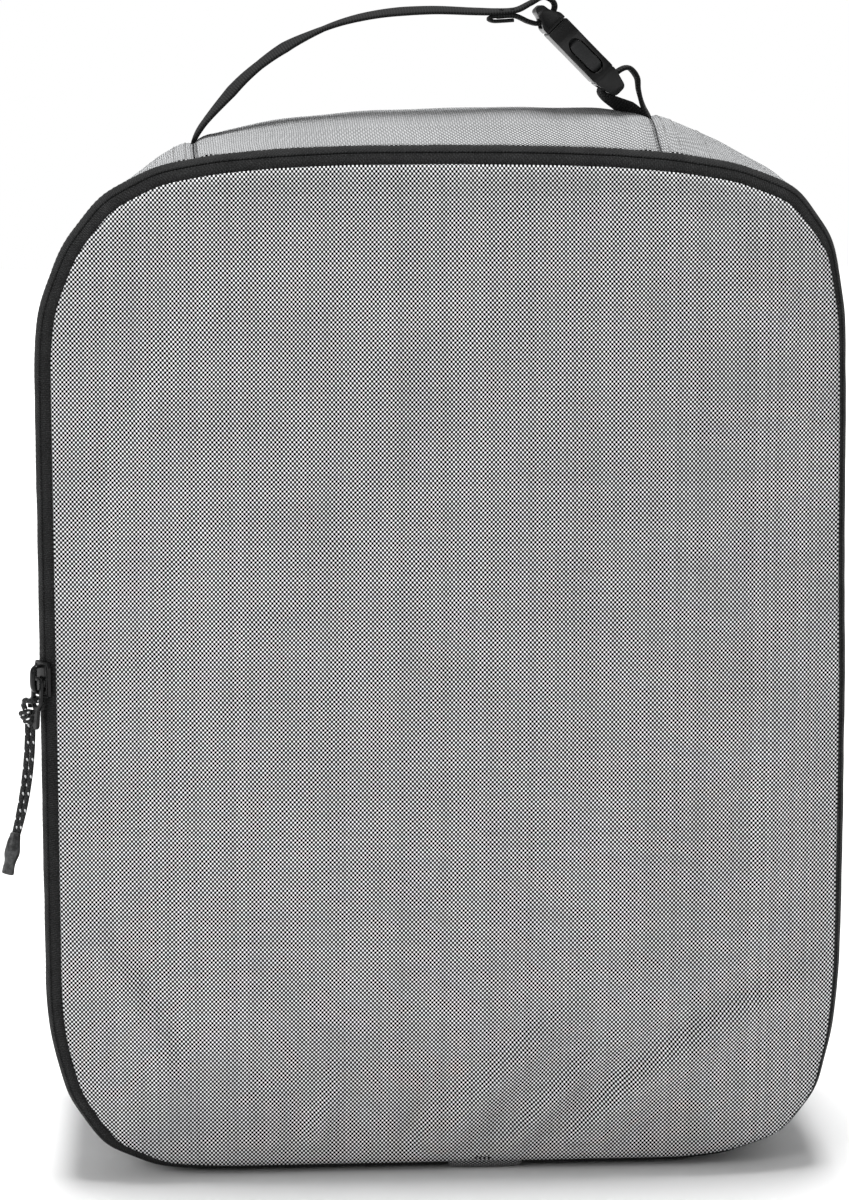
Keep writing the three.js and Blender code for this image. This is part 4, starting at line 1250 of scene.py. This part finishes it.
def make_cord():
    bight = curve_through(LOOP_POINTS, 0.45)
    bight_piece = tube("cord_bight", in_slider(bight), CORD_R, 14, (CORD,), CORD_TURN)
    keep(bight_piece, "puller", "flecked_cord", "cord_loop")

    # Overhand knot: two wraps round the pair and a tucked ear
    wraps = []
    for t in np.linspace(0, 1, 70):
        angle = 4.4 * math.pi * t + 0.6
        wraps.append(KNOT + np.array([
            1.75 * math.cos(angle), 1.5 - 3.1 * t + 0.35 * math.sin(angle * 0.5), 1.55 * math.sin(angle),
        ]))
    knot = tube("cord_knot", in_slider(np.array(wraps)), 0.88, 12, (CORD,), CORD_TURN)
    keep(knot, "pull", "flecked_cord", "pull_cord")
    ear = curve_through([KNOT + p for p in (
        np.array([-0.6, 0.2, 1.6]), np.array([-2.0, 0.9, 1.9]), np.array([-3.1, 0.3, 1.4]),
        np.array([-3.0, -0.8, 0.6]), np.array([-1.8, -1.3, 0.2]), np.array([-0.4, -1.0, 0.4]),
    )], 0.35)
    ear_piece = tube("cord_ear", in_slider(ear), 0.85, 12, (CORD,), CORD_TURN)
    keep(ear_piece, "pull", "flecked_cord")

    # Sleeve: bulges over the fused ends and is cut a little aslant
    rings = ((0.0, 1.5), (0.25, 1.62), (1.2, 1.75), (2.6, 2.0), (4.2, 2.35), (5.6, 2.5), (7.0, 2.42),
             (8.2, 2.1), (9.2, 1.9), (10.6, 1.86), (12.2, 1.92), (13.2, 1.95), (13.5, 1.8))
    centre = np.array([SHRINK_TOP + SHRINK_AXIS * h for h, _ in rings])
    bend = np.array([0.35 * math.sin(h / 13.5 * math.pi) for h, _ in rings])
    centre = in_slider(centre + np.stack([bend, 0 * bend, 0 * bend], axis=-1))
    across = in_slider(np.array([[1.0, 0, 0]]))[0] - in_slider(np.array([[0.0, 0, 0]]))[0]
    sleeve = sweep("shrink_sleeve", centre, np.tile(across, (len(rings), 1)), circle(1.0, 24), (SHRINK,),
                   scale=[r for _, r in rings])
    dent(subdivide(sleeve, 2), 2.4, 0.17, 41)
    keep(sleeve, "pull", "shrink_sleeve", "shrink_end")

    for side, name in ((-1, "cord_strand_a"), (1, "cord_strand_b")):
        route = curve_through(strand_route(side), 0.6)
        world = in_slider(route)
        piece = tube(name, world, CORD_R, 14, (CORD,), CORD_TURN)
        keep(piece, "pull", "flecked_cord")


def dent(piece, size, depth, seed):
    """Uneven lumps on a moulded or shrunk surface."""
    mesh = piece.data
    for vertex in mesh.vertices:
        lump = noise.noise(vertex.co / (size * MM) + Vector((seed, seed * 0.7, 0)))
        vertex.co += vertex.normal * lump * depth * MM
    mesh.update()


# ==== handle ====
STRAP_PATH = (
    (-78.6, 328.6), (-77.6, 331.6), (-75, 335.8), (-69.2, 342.6), (-61.1, 351.0), (-51.2, 358.6),
    (-41.4, 363.8), (-29.9, 368.2), (-16.9, 370.9), (-2, 371.9), (12.0, 371.5), (19.0, 371.4), (25.5, 371.9),
    (30, 374.0), (34.1, 376.0), (37.5, 374.6), (37.8, 372), (35.35, 369.55), (32.8, 367.7),
    (29.5, 368.3), (25.1, 370.1), (19.5, 369.9),
)
ANCHOR_PATH = (
    (67.5, 334.9), (65.9, 337.4), (62.5, 340), (58.1, 342.4), (54.3, 344.6), (53.1, 346.6),
    (55.6, 349.3), (58.7, 352.5), (62.1, 353.6), (64.8, 350.6), (65.4, 346.5), (66.8, 341.6),
    (68.7, 337.8), (69.6, 334.9),
)
# How far the handle's webbing is turned about its own line, in degrees, by distance in mm
STRAP_TWIST = ((0, 4), (9, 6), (22, 17), (34, 12), (44, 16), (58, 3), (70, 9), (84, 12), (110, 9),
               (125, 2), (140, 0), (200, 0))
ANCHOR_TWIST = ((0, 24), (8, 30), (15, 14), (20, 0), (34, 0), (44, 8), (52, 12))
WEB_HALF = (4.9, 0.8)


def webbing(name, path, twist, node, pivot_z):
    """Ribbed webbing along a path, with its edges rounded and its ends drawn in at the seam."""
    route = curve_through([(x, 0, z) for x, z in path], 0.5)
    gone = run_along(route)
    turn = np.radians(np.interp(gone, *np.array(twist, float).T))
    tangents, _ = path_frames(route)
    across = np.tile([0.0, 1.0, 0.0], (len(route), 1))
    out = np.cross(tangents, across)
    sides = across * np.cos(turn)[:, None] + out * np.sin(turn)[:, None]
    drop = np.clip(pivot_z - route[:, 2], 0, None)
    narrow = np.sqrt(np.clip(1 - (drop / WEB_HALF[0]) ** 2, 0.05, 1))
    section = oval(WEB_HALF[0], WEB_HALF[1], 3.2, 20)
    sections = np.repeat(section[None], len(route), axis=0)
    # Each weft makes a small step in both edges.
    ribbed = 1 + 0.012 * np.sin(gone * 2 * np.pi / 1.0)
    sections[..., 0] *= (narrow * ribbed)[:, None]
    piece = sweep(name, route, sides, sections, (WEBBING,))
    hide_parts(node)
    return piece


def make_handle():
    strap = webbing("handle_webbing", STRAP_PATH, STRAP_TWIST, "handle_strap", 335.8)
    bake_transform(strap)
    anchor = webbing("anchor_webbing", ANCHOR_PATH, ANCHOR_TWIST, "anchor_loop", 339.3)
    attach(anchor, "handle")
    # Bar tacks: zigzags of thread through both layers behind the plug
    tacks = (
        ("plug_bar_tack_a", (20.7, 372.15), (0.08, 1.0)),
        ("plug_bar_tack_b", (24.2, 372.4), (-0.1, 1.0)),
    )
    for name, (x, z), out in tacks:
        up = np.array([out[0], 0, out[1]])
        up /= np.linalg.norm(up)
        along = np.array([up[2], 0, -up[0]])
        path = [np.array([x, y, z]) + along * (0.55 if k % 2 else -0.55) + up * 0.12
                for k, y in enumerate(np.arange(-3.9, 4.0, 0.45))]
        keep(tube(name, curve_through(path, 0.2), 0.16, 6, (DARK_THREAD,)), "plug", "webbing")
    # The folded end of the webbing under the bar tacks
    fold = curve_through([(19.9, 0, 370.0), (17.6, 0, 369.7), (16.8, 0, 369.0), (18.4, 0, 368.4),
                          (21.6, 0, 368.5), (24.6, 0, 368.7)], 0.4)
    sides = np.tile([0.0, 1.0, 0.0], (len(fold), 1))
    keep(sweep("webbing_fold", fold, sides, oval(4.85, 0.62, 3.2, 20), (WEBBING,)), "plug", "webbing")


# ==== build ====
make_camera()
make_world(1.0, 0.36)
sun_light("overhead", (0.02, -0.11, -1.0), 4.1, 22)
area_light("key_softbox", (-1.15, -1.15, 0.9), (0.0, 0.0, 0.15), (0.8, 0.8), 9.2)
area_light("fill_softbox", (1.1, -1.0, 0.5), (0.0, 0.0, 0.15), (0.7, 0.9), 0.4)
bpy.context.scene.view_settings.view_transform = "Standard"

corners = [[(x, y, FLOOR_Z) for x in (-FLOOR_REACH, FLOOR_REACH)] for y in (-FLOOR_REACH, FLOOR_REACH)]
floor = skin("floor", corners, (0, 2 * FLOOR_REACH), (0, 2 * FLOOR_REACH), (floor_look(),))

make_cord()
make_zip()
make_panels()
make_gusset()
make_end_tab()
make_bindings()
make_seam_stitches()
make_socket()
make_plug()
make_arms()
make_slider()
make_handle()
